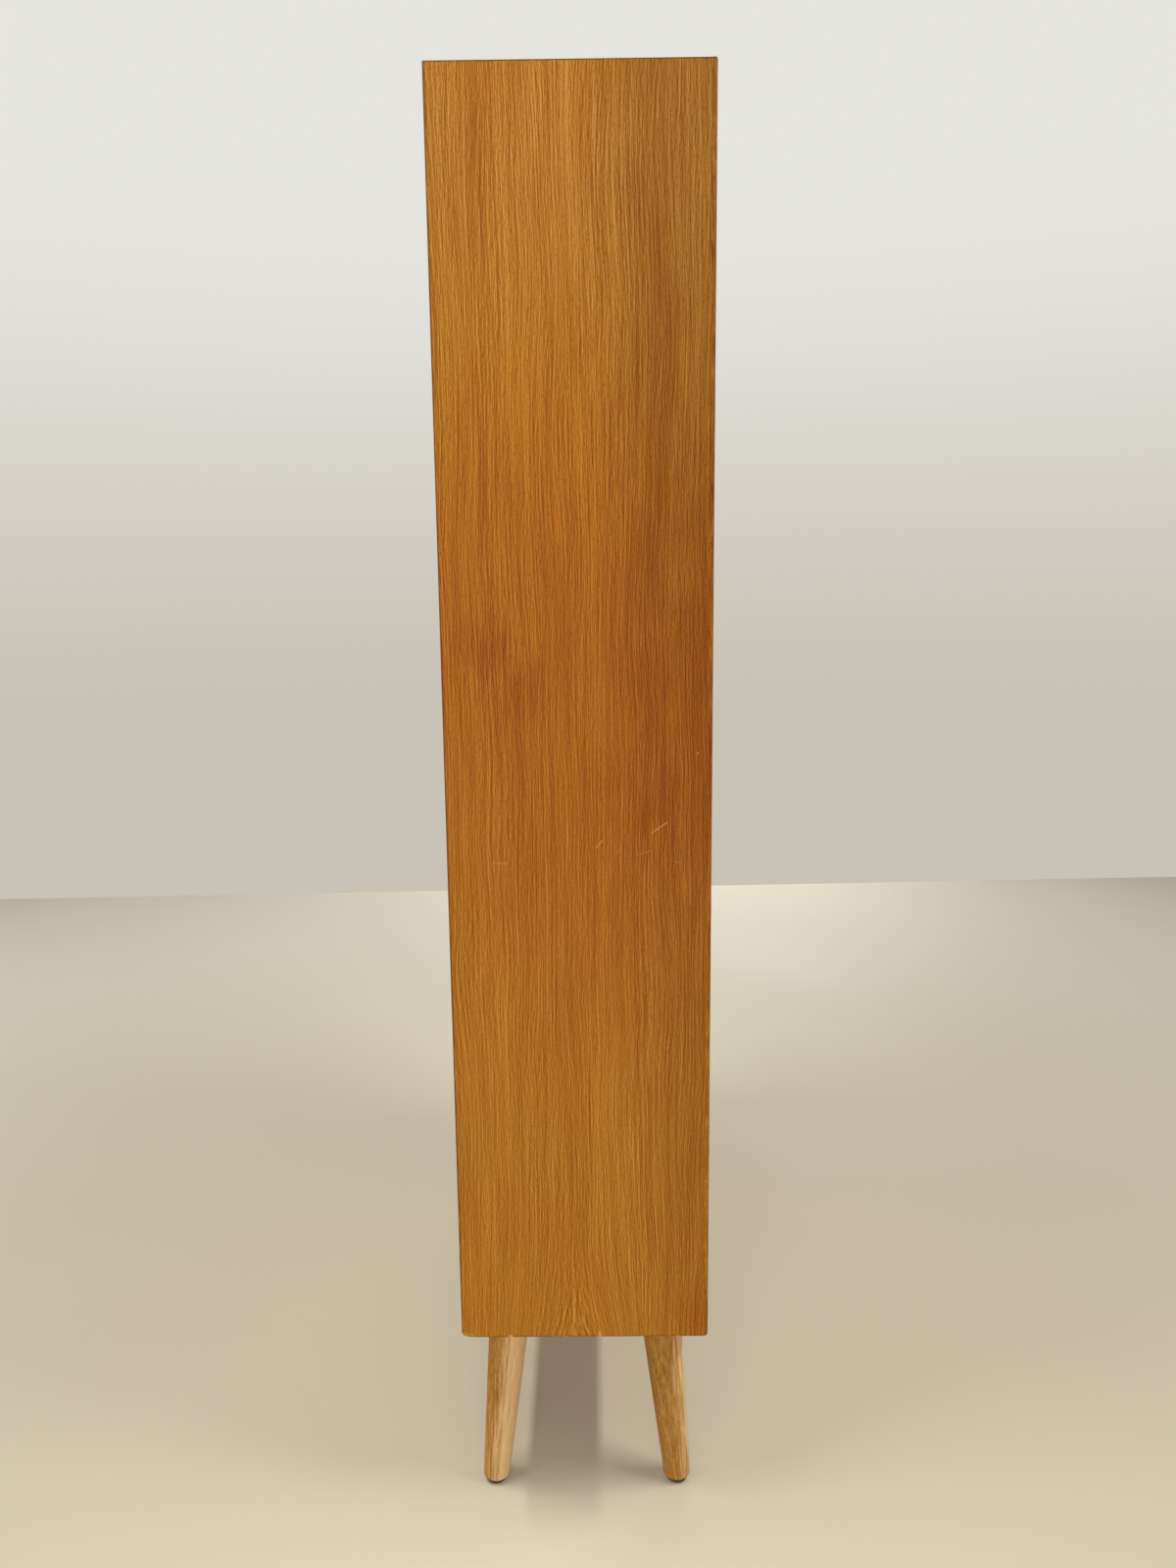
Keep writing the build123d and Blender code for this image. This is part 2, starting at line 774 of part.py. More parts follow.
def make_door(row, name):
    """One inset door with everything that swings with it."""
    side = sides[name]
    door = f"{row}_{name}"
    low, high = door_rows[row]
    heights = hinge_heights(low, high)
    left, right = sorted((side * (inner_x - door_gap), side * door_gap / 2))
    outlines = mitred_frame(left, right, low, high, door_lipping)
    inner = [outlines["left"][3], outlines["left"][2], outlines["right"][2], outlines["right"][3]]
    hinge_places = hinge_screw_places(side, heights, door_leaf_face, side)

    knob_x = side * (door_gap / 2 + knob_from_edge)
    knob_z = low + upper_knob_height if row == "upper" else high - lower_knob_drop
    knob_place = Plane(origin=(knob_x, door_front_y, knob_z), x_dir=(1, 0, 0), z_dir=(0, -1, 0))
    knob_screw_place = Plane(origin=(knob_x, door_back_y, knob_z), x_dir=(1, 0, 0), z_dir=(0, 1, 0))

    keeper_x = side * catch_from_centre
    keeper_z = catch_levels[row] - catch_centre_drop
    keeper_places = []
    for shift in (-keeper_screw_pitch / 2, keeper_screw_pitch / 2):
        origin = (keeper_x + shift, keeper_face_y, keeper_z)
        keeper_places.append(Plane(origin=origin, x_dir=(1, 0, 0), z_dir=(0, 1, 0)))

    with BuildPart() as panel:
        prism(inner, door_front_y, door_back_y)
        pilot_holes(hinge_places, hinge_screw)
        pilot_holes(keeper_places, hinge_screw)
        with Locations(knob_screw_place):
            Cylinder(knob_screw_radius + fit, door_thickness, align=to_depth, mode=Mode.SUBTRACT)
    write(panel.part, f"{door}_door_panel")

    make_door_lipping(outlines, name, side, heights, hinge_places, f"{door}_door_lipping")
    make_knob(knob_place, f"{door}_knob")
    make_knob_screw(knob_screw_place, f"{door}_knob_screw")
    make_keeper(keeper_x, keeper_z, keeper_places, f"{door}_catch_keeper")

    with BuildPart() as leaves:
        for height in heights:
            hinge_leaf(side, height, door_leaf_face, door_leaf_seat, door_knuckles)
        sunk_holes(hinge_places, hinge_screw, leaf_thickness)
    write(leaves.part, f"{door}_hinge_leaves")
    write(screw_group(hinge_places + keeper_places, hinge_screw), f"{door}_door_screws")


# Base

def make_legs():
    """Turned tapered legs, cut level at the foot and bored for their bolts."""
    end_radius = leg_foot_radius + (leg_foot_radius - leg_top_radius) * leg_trim / leg_length
    with BuildPart() as blank:
        with BuildSketch(Plane.XZ):
            with BuildLine():
                Polyline(
                    (0, 0), (leg_top_radius, 0), (end_radius, -leg_length - leg_trim),
                    (0, -leg_length - leg_trim), close=True,
                )
            make_face()
        revolve(axis=Axis.Z)
        fillet(blank.edges().filter_by(GeomType.CIRCLE).group_by(Axis.Z)[-1], leg_top_arris)
        Cylinder(bolt_radius + fit, bolt_in_leg + end_room, align=to_depth, mode=Mode.SUBTRACT)
    for side_name, side in sides.items():
        for end_name, end in ends.items():
            with BuildPart() as leg:
                with Locations(leg_seat(side, end)):
                    add(blank.part)
                split(bisect_by=Plane.XY.offset(glide_height), keep=Keep.TOP)
                fillet(leg.faces().sort_by(Axis.Z)[0].edges(), leg_foot_round)
            write(leg.part, f"{end_name}_{side_name}_leg")


def make_leg_plates():
    """Steel plates with a slanted boss that sets the splay of each leg."""
    with BuildPart() as plates:
        for spot in leg_spots:
            centre = leg_axis_point(*spot, 0)
            with BuildSketch(Plane.XY.offset(leg_height)):
                with Locations((centre.X, centre.Y)):
                    RectangleRounded(plate_size, plate_size, plate_corner)
            extrude(amount=-plate_thickness)
            with Locations(leg_seat(*spot)):
                Cylinder(boss_radius, 2 * seat_drop, align=from_base)
        split(bisect_by=Plane.XY.offset(leg_height), keep=Keep.BOTTOM)
        for spot in leg_spots:
            with Locations(leg_seat(*spot)):
                Cylinder(bolt_radius + fit, 2 * seat_drop, align=from_base, mode=Mode.SUBTRACT)
        sunk_holes(all_plate_screw_places, plate_screw, plate_thickness)
    write(plates.part, "leg_plates")
    write(screw_group(all_plate_screw_places, plate_screw), "leg_plate_screws")


def make_hanger_bolts():
    """Bolts that join each leg to its plate."""
    with BuildPart() as bolt:
        Cylinder(bolt_radius, bolt_in_plate, align=from_base)
        Cylinder(bolt_radius, bolt_in_leg, align=to_depth)
        chamfer(bolt.edges().filter_by(GeomType.CIRCLE), bolt_chamfer)
    with BuildPart() as bolts:
        with Locations(*[leg_seat(*spot) for spot in leg_spots]):
            add(bolt.part)
    write(bolts.part, "leg_hanger_bolts")


def make_foot_glides():
    """Felt pads under the feet."""
    with BuildPart() as glide:
        Cylinder(glide_radius, glide_height, align=from_base)
        fillet(glide.edges().filter_by(GeomType.CIRCLE).group_by(Axis.Z)[0], glide_round)
    feet = []
    for side, end in leg_spots:
        foot = leg_axis_point(side, end, leg_height - glide_height)
        feet.append((foot.X, foot.Y, 0))
    with BuildPart() as glides:
        with Locations(*feet):
            add(glide.part)
    write(glides.part, "foot_glides")


# Build everything

os.makedirs("parts", exist_ok=True)
for side_name in sides:
    make_side_panel(side_name)
make_top_panel()
make_bottom_panel()
make_divider_panel()
make_carcass_lipping()
make_mitre_splines()
make_divider_dowels()
make_back_panel()
make_shelves()
make_shelf_pins()
make_frame_hinge_leaves()
make_hinge_pins()
make_catches()
for row_name in door_rows:
    for side_name in sides:
        make_door(row_name, side_name)
make_legs()
make_leg_plates()
make_hanger_bolts()
make_foot_glides()
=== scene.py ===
"""Finished look of a tall oak pantry cabinet on splayed turned legs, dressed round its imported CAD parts."""

import math
from functools import cache

import bmesh
import bpy
import numpy as np
from bpy.props import FloatProperty, FloatVectorProperty, IntProperty, PointerProperty
from mathutils import Matrix, Vector


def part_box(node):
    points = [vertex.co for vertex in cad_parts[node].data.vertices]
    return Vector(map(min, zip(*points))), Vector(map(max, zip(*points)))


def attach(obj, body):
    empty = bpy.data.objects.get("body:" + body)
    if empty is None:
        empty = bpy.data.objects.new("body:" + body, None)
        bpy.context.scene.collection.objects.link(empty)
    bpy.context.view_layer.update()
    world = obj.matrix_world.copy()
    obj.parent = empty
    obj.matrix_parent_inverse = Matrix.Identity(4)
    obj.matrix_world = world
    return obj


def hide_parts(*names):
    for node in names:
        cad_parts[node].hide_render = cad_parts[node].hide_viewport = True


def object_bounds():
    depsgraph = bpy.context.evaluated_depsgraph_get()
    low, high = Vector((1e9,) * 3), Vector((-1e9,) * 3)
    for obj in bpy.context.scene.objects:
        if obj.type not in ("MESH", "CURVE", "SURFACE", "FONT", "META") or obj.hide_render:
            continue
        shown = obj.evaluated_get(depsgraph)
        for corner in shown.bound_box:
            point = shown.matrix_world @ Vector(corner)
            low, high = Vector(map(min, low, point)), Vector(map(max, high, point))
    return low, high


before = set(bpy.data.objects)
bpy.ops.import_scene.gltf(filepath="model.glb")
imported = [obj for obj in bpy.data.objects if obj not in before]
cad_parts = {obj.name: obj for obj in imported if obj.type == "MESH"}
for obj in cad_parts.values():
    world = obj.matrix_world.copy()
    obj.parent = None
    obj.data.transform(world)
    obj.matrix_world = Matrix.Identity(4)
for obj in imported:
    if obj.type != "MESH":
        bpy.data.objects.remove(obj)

bl_info = {
    "name": "Pantry Cabinet",
    "version": (1, 0, 0),
    "blender": (4, 5, 0),
    "location": "View3D > Sidebar > Cabinet",
    "description": "Dresses an oak pantry cabinet round its CAD frame",
    "category": "Object",
}

CAD_BOX = [list(corner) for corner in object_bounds()]

DOORS = ("upper_left", "upper_right", "lower_left", "lower_right")
SHELVES = ("lower_shelf", "upper_shelf_low", "upper_shelf_middle", "upper_shelf_high")
LEGS = ("front_left", "front_right", "rear_left", "rear_right")

ACROSS_X, ACROSS_Y, ACROSS_Z = Vector((1, 0, 0)), Vector((0, 1, 0)), Vector((0, 0, 1))
UPRIGHT_SIDE = (ACROSS_Y, ACROSS_X, ACROSS_Z)
UPRIGHT_FRONT = (ACROSS_X, ACROSS_Y, ACROSS_Z)
LEVEL_BOARD = (ACROSS_Y, ACROSS_Z, ACROSS_X)
LEVEL_STRIP = (ACROSS_Z, ACROSS_Y, ACROSS_X)

# Points closer than WELD are one point, and levels closer than NEAR are the same level, in metres
WELD, NEAR = 2e-6, 1e-5
# How far under a face its strip is looked up, and the least length of a face's normal
JUST_INSIDE, LEAST_NORMAL = 1e-4, 1e-12
FLAT_ANGLE, SHARP_ANGLE = math.radians(0.5), math.radians(32)
# Heights from which the flame figure rises on the sides and on the doors
BODY_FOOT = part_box("bottom_panel")[0].z
DOOR_FOOT = BODY_FOOT + 0.025
# Where the carcass boards meet their lipping, along y
LIPPING_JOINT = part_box("left_side_panel")[0].y
# Points with a smaller x belong to the left side; the others are put far off its marks
LEFT_SIDE, FAR_OFF = -0.42, 9.0
# How far the grain pattern moves from one strip of the carcass, strip of a door or leg to the next
LIPPING_STEP, STRIP_STEP, LEG_STEP = 0.13, 0.17, 0.21


def srgb(red, green, blue):
    """Scene colour of a colour given in steps from 0 to 255."""
    shares = [step / 255 for step in (red, green, blue)]
    return tuple(share / 12.92 if share <= 0.04045 else ((share + 0.055) / 1.055) ** 2.4 for share in shares)


def colour(name, description, *steps):
    """Colour property with its default in steps from 0 to 255."""
    return FloatVectorProperty(
        name=name, description=description, default=srgb(*steps), size=3, min=0, max=1, subtype="COLOR"
    )


def length(name, description, default):
    """Length property in metres."""
    return FloatProperty(name=name, description=description, default=default, unit="LENGTH", precision=4)


class CabinetSizes(bpy.types.PropertyGroup):
    """Small shapes that the finish adds to the boards and fittings."""

    board_arris: length("Board arris", "Rounding of the outer edges of the carcass boards", 0.0007)
    joint_arris: length("Joint arris", "Fine groove where a door panel meets its lipping", 0.00025)
    chip_depth: length("Chip depth", "How deep the chips on the bottom edge go into the board", 0.0022)
    leg_inset: length("Leg inset", "From the outside of the body to a leg's axis, at the top", 0.055)
    leg_slope: FloatProperty(
        name="Leg slope", description="Outward lean of a leg, across over down", default=0.0946
    )
    leg_radius: length("Leg radius", "Radius of a leg halfway up", 0.02)
    glide_radius: length("Glide radius", "Radius of a felt pad", 0.0125)
    glide_fuzz: length("Glide fuzz", "Unevenness of the felt edge", 0.0003)
    slot_width: length("Screw slot width", "Width of the driver slot in a screw", 0.0007)
    slot_depth: length("Screw slot depth", "Depth of the driver slot in a screw", 0.0009)
    screw_seed: IntProperty(name="Screw seed", description="Fixes how the screw slots are turned", default=11)


class CabinetColours(bpy.types.PropertyGroup):
    """Colours of the wood, metal and small parts."""

    oak_pale: colour("Oak pale", "Lightest streaks of the lacquered veneer", 210, 153, 69)
    oak_light: colour("Oak light", "Light streaks of the lacquered veneer", 195, 135, 48)
    oak_mid: colour("Oak middle", "Middle tone of the lacquered veneer", 178, 117, 33)
    oak_dark: colour("Oak dark", "Dark streaks of the lacquered veneer", 161, 99, 22)
    oak_pore: colour("Oak pores", "Pores of the lacquered veneer", 137, 79, 13)
    # Colour of the darker line drawn along the arrises of the boards
    edge_dark: colour("Dark edge", "Dirt along the arrises", 92, 62, 30)
    bare_oak: colour("Bare oak", "Wood under chipped lacquer", 226, 190, 136)
    # Also the colour of the painted sheen on the lit side of each leg
    leg_pale: colour("Leg pale", "Lightest streaks of the legs", 234, 198, 148)
    leg_light: colour("Leg light", "Light streaks of the legs", 222, 180, 124)
    leg_mid: colour("Leg middle", "Middle tone of the legs", 207, 160, 100)
    leg_dark: colour("Leg dark", "Dark streaks of the legs", 188, 138, 76)
    leg_pore: colour("Leg pores", "Pores of the legs", 158, 110, 56)
    back_light: colour("Back light", "Light fibres of the back board", 168, 128, 84)
    back_dark: colour("Back dark", "Dark fibres of the back board", 132, 96, 58)
    brass: colour("Brass", "Polished brass of hinges and pins", 196, 158, 86)
    brass_dull: colour("Dull brass", "Tarnished brass", 128, 92, 44)
    steel: colour("Steel", "Bright zinc on steel parts", 178, 178, 174)
    steel_dull: colour("Dull steel", "Dull zinc on steel parts", 122, 120, 114)
    catch_brown: colour("Catch brown", "Moulded catch housings", 96, 66, 42)
    magnet_grey: colour("Magnet grey", "Sintered magnets", 58, 56, 56)
    felt_brown: colour("Felt brown", "Felt under the feet", 74, 62, 50)


class StageLook(bpy.types.PropertyGroup):
    """Floor, light and camera."""

    # The floor is painted darker near the cabinet as shade, and paler far off as painted light
    floor: colour("Floor", "Plain floor near the cabinet", 196, 188, 165)
    floor_far_painted_light: colour("Far floor", "Plain floor far off", 240, 232, 213)
    wall: colour("Wall", "Plain background", 229, 228, 223)
    wall_foot: colour("Wall foot", "Plain background near the floor", 201, 194, 182)
    floor_reach: length("Floor reach", "From the middle of the floor to its edges", 2.48)
    floor_skew: length("Floor skew", "How far the floor's far edge turns at its ends", 0.1)
    world_light: FloatProperty(name="World light", description="Even light from all round", default=0.16)
    lens: FloatProperty(name="Lens", description="Focal length in millimetres", default=27.045)


def sizes():
    """Sizes that the user can change."""
    return bpy.context.scene.pantry_sizes


def tone(name):
    """One of the colours that the user can change."""
    return tuple(getattr(bpy.context.scene.pantry_colours, name))


# Node trees

class Tree:
    """Places and links nodes; a value is a number, a tuple or the output of another node."""

    def __init__(self, tree):
        self.tree = tree

    def node(self, kind, values=None, **settings):
        """New node with its settings and inputs."""
        made = self.tree.nodes.new(kind)
        for name, setting in settings.items():
            setattr(made, name, setting)
        for key, value in (values or {}).items():
            self.feed(made.inputs[key], value)
        return made

    def feed(self, socket, value):
        """Links an output to a socket, or sets the socket's own value."""
        if isinstance(value, bpy.types.NodeSocket):
            self.tree.links.new(value, socket)
        elif socket.type == "RGBA":
            socket.default_value = (*value[:3], 1.0)
        else:
            socket.default_value = value

    def math(self, operation, *values, clamp=False):
        """Function of numbers."""
        made = self.node("ShaderNodeMath", dict(enumerate(values)), operation=operation, use_clamp=clamp)
        return made.outputs[0]

    def times(self, *values):
        """Product of two numbers."""
        return self.math("MULTIPLY", *values)

    def plus(self, *values):
        """Sum of two numbers."""
        return self.math("ADD", *values)

    def minus(self, *values):
        """First number less the second."""
        return self.math("SUBTRACT", *values)

    def fade(self, value):
        """From one towards nothing as a value grows."""
        return self.math("EXPONENT", self.times(value, -1.0))

    def vector(self, operation, *values):
        """Function of vectors."""
        made = self.node("ShaderNodeVectorMath", dict(enumerate(values)), operation=operation)
        return made.outputs["Value" if operation in ("LENGTH", "DOT_PRODUCT") else "Vector"]

    def scaled(self, vector, scale):
        """Vector stretched along each axis."""
        return self.vector("MULTIPLY", vector, scale)

    def split(self, vector):
        """X, Y and Z of a vector."""
        return list(self.node("ShaderNodeSeparateXYZ", {0: vector}).outputs)

    def join(self, x, y, z):
        """Vector from X, Y and Z."""
        return self.node("ShaderNodeCombineXYZ", {0: x, 1: y, 2: z}).outputs[0]

    def span(self, value, start, stop, low=0.0, high=1.0):
        """Smooth change from low at start to high at stop."""
        values = {"Value": value, "From Min": start, "From Max": stop, "To Min": low, "To Max": high}
        return self.node("ShaderNodeMapRange", values, interpolation_type="SMOOTHSTEP").outputs["Result"]

    def noise(self, at, scale=None, detail=2.0, roughness=0.5):
        """Cloudy pattern with cells one unit across, once stretched by the scale."""
        at = at if scale is None else self.scaled(at, scale)
        values = {"Vector": at, "Scale": 1.0, "Detail": detail, "Roughness": roughness}
        return self.node("ShaderNodeTexNoise", values).outputs[0]

    def swing(self, *pattern):
        """Cloudy pattern about zero."""
        return self.minus(self.noise(*pattern), 0.5)

    def mix(self, share, under, over, blend="MIX"):
        """Second colour laid over the first."""
        values = {0: share, 6: under, 7: over}
        return self.node("ShaderNodeMix", values, data_type="RGBA", blend_type=blend).outputs[2]

    def tinted(self, shade, tint):
        """Colour multiplied by a tint."""
        return self.mix(1.0, shade, tint, "MULTIPLY")

    def ramp(self, value, stops):
        """Colours set along a value, from the first stop to the last."""
        made = self.node("ShaderNodeValToRGB", {0: value})
        elements = made.color_ramp.elements
        for place, _ in stops[1:-1]:
            elements.new(place)
        for element, (place, shade) in zip(elements, stops):
            element.position = place
            element.color = (*shade, 1.0)
        return made.outputs[0]

    def use(self, group, values):
        """Places a node group and returns its outputs."""
        return self.node("ShaderNodeGroup", values, node_tree=group).outputs

    def note(self, name):
        """Vector noted on the piece's points."""
        return self.node("ShaderNodeAttribute", attribute_name=name).outputs["Vector"]

    def place(self):
        """Object coordinates."""
        return self.node("ShaderNodeTexCoord").outputs["Object"]

    def bump(self, height, distance, strength):
        """Normal raised and lowered by a height."""
        values = {"Height": height, "Distance": distance, "Strength": strength}
        return self.node("ShaderNodeBump", values).outputs[0]


def node_group(name, inputs, outputs, kind="ShaderNodeTree"):
    """Empty node group with named sockets; returns its tree, what it is given and what it puts out."""
    group = bpy.data.node_groups.new(name, kind)
    for title, socket, default in inputs:
        made = group.interface.new_socket(title, in_out="INPUT", socket_type=f"NodeSocket{socket}")
        if default is not None:
            made.default_value = default
    for title, socket in outputs:
        group.interface.new_socket(title, in_out="OUTPUT", socket_type=f"NodeSocket{socket}")
    tree = Tree(group)
    return tree, tree.node("NodeGroupInput").outputs, tree.node("NodeGroupOutput").inputs


# Effects shared by the finishes

def grain_lines(tree, at, count, drift_scale, drift):
    """Growth lines as a wave across the grain, whose spacing drifts along it; from -1 to 1."""
    across, _, _ = tree.split(at)
    shift = tree.times(tree.noise(at, drift_scale, 1.0), drift)
    turns = tree.math("MULTIPLY_ADD", across, count, shift)
    return tree.math("SINE", tree.times(turns, 2 * math.pi))


def fine_lines(tree, at, scale, step):
    """Crowded fine lines: a pattern less the same pattern a step further across."""
    here = tree.noise(at, scale, 0.0)
    aside = tree.vector("ADD", at, (step, 0.0, 0.0))
    return tree.minus(here, tree.noise(aside, scale, 0.0))


@cache
def oak_figure():
    """Streaks, bands and pores of oak; At is across, through and along the grain, in metres."""
    tree, given, result = node_group(
        "oak_figure",
        [
            ("At", "Vector", None), ("Streaks", "Float", 215.0), ("Length", "Float", 10.0),
            ("Wander", "Float", 0.02), ("Contrast", "Float", 1.0), ("Fan Centre", "Float", 0.0),
            ("Fan Base", "Float", -FAR_OFF), ("Fan Reach", "Float", 0.05), ("Fan Width", "Float", 0.05),
            ("Fan Strength", "Float", 0.0),
        ],
        [("Tone", "Float"), ("Pores", "Float"), ("Height", "Float")],
    )
    across, through, along = tree.split(given["At"])
    drift = tree.swing(given["At"], (11.0, 11.0, 4.0), 1.0)
    across = tree.math("MULTIPLY_ADD", drift, given["Wander"], across)
    across = tree.minus(across, given["Fan Centre"])

    rise = tree.math("MAXIMUM", tree.minus(along, given["Fan Base"]), 0.0)
    fade = tree.fade(tree.math("DIVIDE", rise, given["Fan Reach"]))
    aside = tree.math("DIVIDE", across, given["Fan Width"])
    bell = tree.fade(tree.times(aside, aside))
    pull = tree.times(tree.times(fade, bell), given["Fan Strength"])
    across = tree.times(across, tree.minus(1.0, pull))

    streak_at = tree.join(
        tree.times(across, given["Streaks"]),
        tree.times(through, given["Streaks"]),
        tree.times(along, given["Length"]),
    )
    fine = fine_lines(tree, streak_at, (5.0, 5.0, 5.6), 0.23)
    long = tree.swing(streak_at, (2.6, 2.6, 0.8), 0.0)
    specks = fine_lines(tree, streak_at, (4.6, 4.6, 22.0), 0.25)
    wide = grain_lines(tree, streak_at, 1.0, (0.3, 0.3, 0.4), 2.4)
    thin = grain_lines(tree, streak_at, 1.57, (0.55, 0.55, 0.7), 2.0)
    bands = tree.swing(streak_at, (0.1, 0.1, 0.12), 2.0)
    pores = tree.times(tree.span(specks, 0.1, 0.32), tree.span(wide, 0.5, -0.5))

    lines = tree.times(tree.plus(wide, thin), 0.05)
    for layer, share in ((fine, 0.64), (long, 0.42), (specks, 0.42)):
        lines = tree.math("MULTIPLY_ADD", layer, share, lines)
    mixed = tree.math("MULTIPLY_ADD", lines, given["Contrast"], 0.5)
    mixed = tree.math("MULTIPLY_ADD", bands, 0.34, mixed, clamp=True)
    tree.feed(result["Tone"], mixed)
    tree.feed(result["Pores"], tree.times(pores, given["Contrast"]))
    tree.feed(result["Height"], tree.math("MULTIPLY_ADD", pores, -0.8, lines))
    return tree.tree


@cache
def edge_distance():
    """How far a point of a board's surface is from the nearest edge of the board."""
    tree, given, result = node_group(
        "edge_distance", [("At", "Vector", None), ("Half", "Vector", None)], [("Distance", "Float")],
    )
    a, b, c = tree.split(tree.vector("SUBTRACT", given["Half"], tree.vector("ABSOLUTE", given["At"])))
    nearer, further = tree.math("MINIMUM", a, b), tree.math("MAXIMUM", a, b)
    tree.feed(result["Distance"], tree.math("MAXIMUM", nearer, tree.math("MINIMUM", further, c)))
    return tree.tree


@cache
def soft_patch():
    """Cloudy patch round a centre, fading out at its reach along each axis."""
    tree, given, result = node_group(
        "soft_patch",
        [
            ("At", "Vector", None), ("Centre", "Vector", None), ("Reach", "Vector", (1, 1, 1)),
            ("Ragged", "Float", 0.4),
        ],
        [("Mask", "Float")],
    )
    away = tree.vector("DIVIDE", tree.vector("SUBTRACT", given["At"], given["Centre"]), given["Reach"])
    ragged = tree.times(tree.swing(given["At"], (70.0, 70.0, 18.0), 3.0), given["Ragged"])
    distance = tree.plus(tree.vector("LENGTH", away), ragged)
    tree.feed(result["Mask"], tree.span(distance, 1.0, 0.1))
    return tree.tree


@cache
def scratch():
    """Thin line from a start to an end, or a dot where the two are close."""
    tree, given, result = node_group(
        "scratch",
        [
            ("At", "Vector", None),
            ("Start", "Vector", None),
            ("End", "Vector", None),
            ("Width", "Float", 0.0008),
        ],
        [("Mask", "Float")],
    )
    line = tree.vector("SUBTRACT", given["End"], given["Start"])
    offset = tree.vector("SUBTRACT", given["At"], given["Start"])
    covered = tree.vector("DOT_PRODUCT", offset, line)
    share = tree.math("DIVIDE", covered, tree.vector("DOT_PRODUCT", line, line))
    share = tree.math("MAXIMUM", tree.math("MINIMUM", share, 1.0), 0.0)
    along = tree.scaled(line, tree.join(share, share, share))
    distance = tree.vector("LENGTH", tree.vector("SUBTRACT", offset, along))
    tree.feed(result["Mask"], tree.span(distance, given["Width"], tree.times(given["Width"], 0.35)))
    return tree.tree


@cache
def smudges():
    """Uneven dullness of metal and moulded parts."""
    tree, given, result = node_group(
        "smudges", [("At", "Vector", None), ("Size", "Float", 0.008)], [("Mask", "Float"), ("Fine", "Float")],
    )
    cells = tree.math("DIVIDE", 1.0, given["Size"])
    at = tree.scaled(given["At"], tree.join(cells, cells, cells))
    tree.feed(result["Mask"], tree.span(tree.noise(at, detail=3.0), 0.35, 0.75))
    tree.feed(result["Fine"], tree.noise(at, (9.0, 9.0, 9.0), 2.0))
    return tree.tree


# Finishes

GLOSS, PORE_SHARE, DULL_SHARE, LEG_SHEEN_SHARE = 0.1, 0.6, 0.6, 0.62
OAK = ("oak_pore", "oak_dark", "oak_mid", "oak_light", "oak_pale")
LEG_OAK = ("leg_pore", "leg_dark", "leg_mid", "leg_light", "leg_pale")
MOULD_SHADE = (0.72, 0.72, 0.72)
# Where each of the five shades comes along the tone of the figure
SHADE_STOPS = (0.12, 0.33, 0.5, 0.68, 0.9)

# Tint of the painted shade on one side of each leg, and how far off each leg's axis it gives way to the
# painted sheen, as a share of the radius
LEG_PAINTED_SHADE = (0.64, 0.525, 0.275)
LEG_SHEEN_STARTS = {"front_left": -0.72, "rear_left": 0.1, "front_right": 0.5, "rear_right": -0.3}

# Marks on the left side panel, in metres across and along the grain.
# Patches and ragged stains: tint, centre, reach and share; scratches: start, end, width and share
REDDENED, SHADED = (0.9, 0.67, 0.34), (0.6, 0.6, 0.6)
# The third tint is a painted sheen that makes the top of the left side paler and bluer
YELLOWED, STAINED, PAINTED_SHEEN = (1.0, 0.985, 0.36), (0.84, 0.68, 0.45), (1.0, 1.0, 1.2)
PATCHES = [
    (YELLOWED, (0.0, 1.13), (0.6, 0.42), 1.0),
    # Painted sheen along the top of the left side
    (PAINTED_SHEEN, (0.0, 1.64), (0.6, 0.32), 1.0),
    (REDDENED, (0.0, 0.987), (0.4, 0.54), 1.0),
    (REDDENED, (-0.14, 0.86), (0.14, 0.8), 0.25),
    (REDDENED, (0.14, 1.15), (0.07, 0.32), 0.22),
    (REDDENED, (-0.152, 0.957), (0.034, 0.36), 0.6),
    (REDDENED, (-0.14, 0.242), (0.045, 0.06), 0.6),
    (REDDENED, (0.152, 0.807), (0.012, 0.9), 0.5),
    (SHADED, (-0.17, 1.507), (0.22, 0.8), 0.5),
    (SHADED, (-0.17, 0.757), (0.18, 1.1), 0.48),
    (SHADED, (0.18, 1.62), (0.09, 0.4), 0.25),
    (SHADED, (-0.08, 1.25), (0.08, 0.9), 0.17),
]
STAINS = [
    (STAINED, (0.1, 1.052), (0.04, 0.06), 0.75),
    (STAINED, (0.06, 1.015), (0.032, 0.045), 0.7),
    (STAINED, (-0.09, 0.884), (0.036, 0.055), 0.5),
]
SCRATCHES = [
    ((0.098, 0.8167), (0.0813, 0.8165), 0.0008, 0.6),
    ((-0.02, 0.8338), (-0.0256, 0.8417), 0.0009, 0.75),
    ((-0.0821, 0.8503), (-0.0997, 0.8625), 0.0009, 0.7),
    ((-0.0665, 0.8254), (-0.081, 0.8299), 0.0008, 0.35),
    ((-0.0433, 0.8279), (-0.0466, 0.8313), 0.0008, 0.4),
    ((-0.1076, 0.816), (-0.1165, 0.8159), 0.0008, 0.35),
    ((-0.1335, 0.9403), (-0.1335, 0.9415), 0.0014, 0.6),
    ((0.0254, 0.7596), (0.0254, 0.7602), 0.0012, 0.6),
    ((-0.0263, 0.4932), (-0.0263, 0.4938), 0.0012, 0.5),
    ((-0.1281, 0.4862), (-0.1281, 0.487), 0.0012, 0.5),
    ((-0.1463, 0.3652), (-0.1463, 0.366), 0.0014, 0.5),
    ((0.1475, 0.2275), (0.136, 0.2246), 0.0018, 0.5),
]


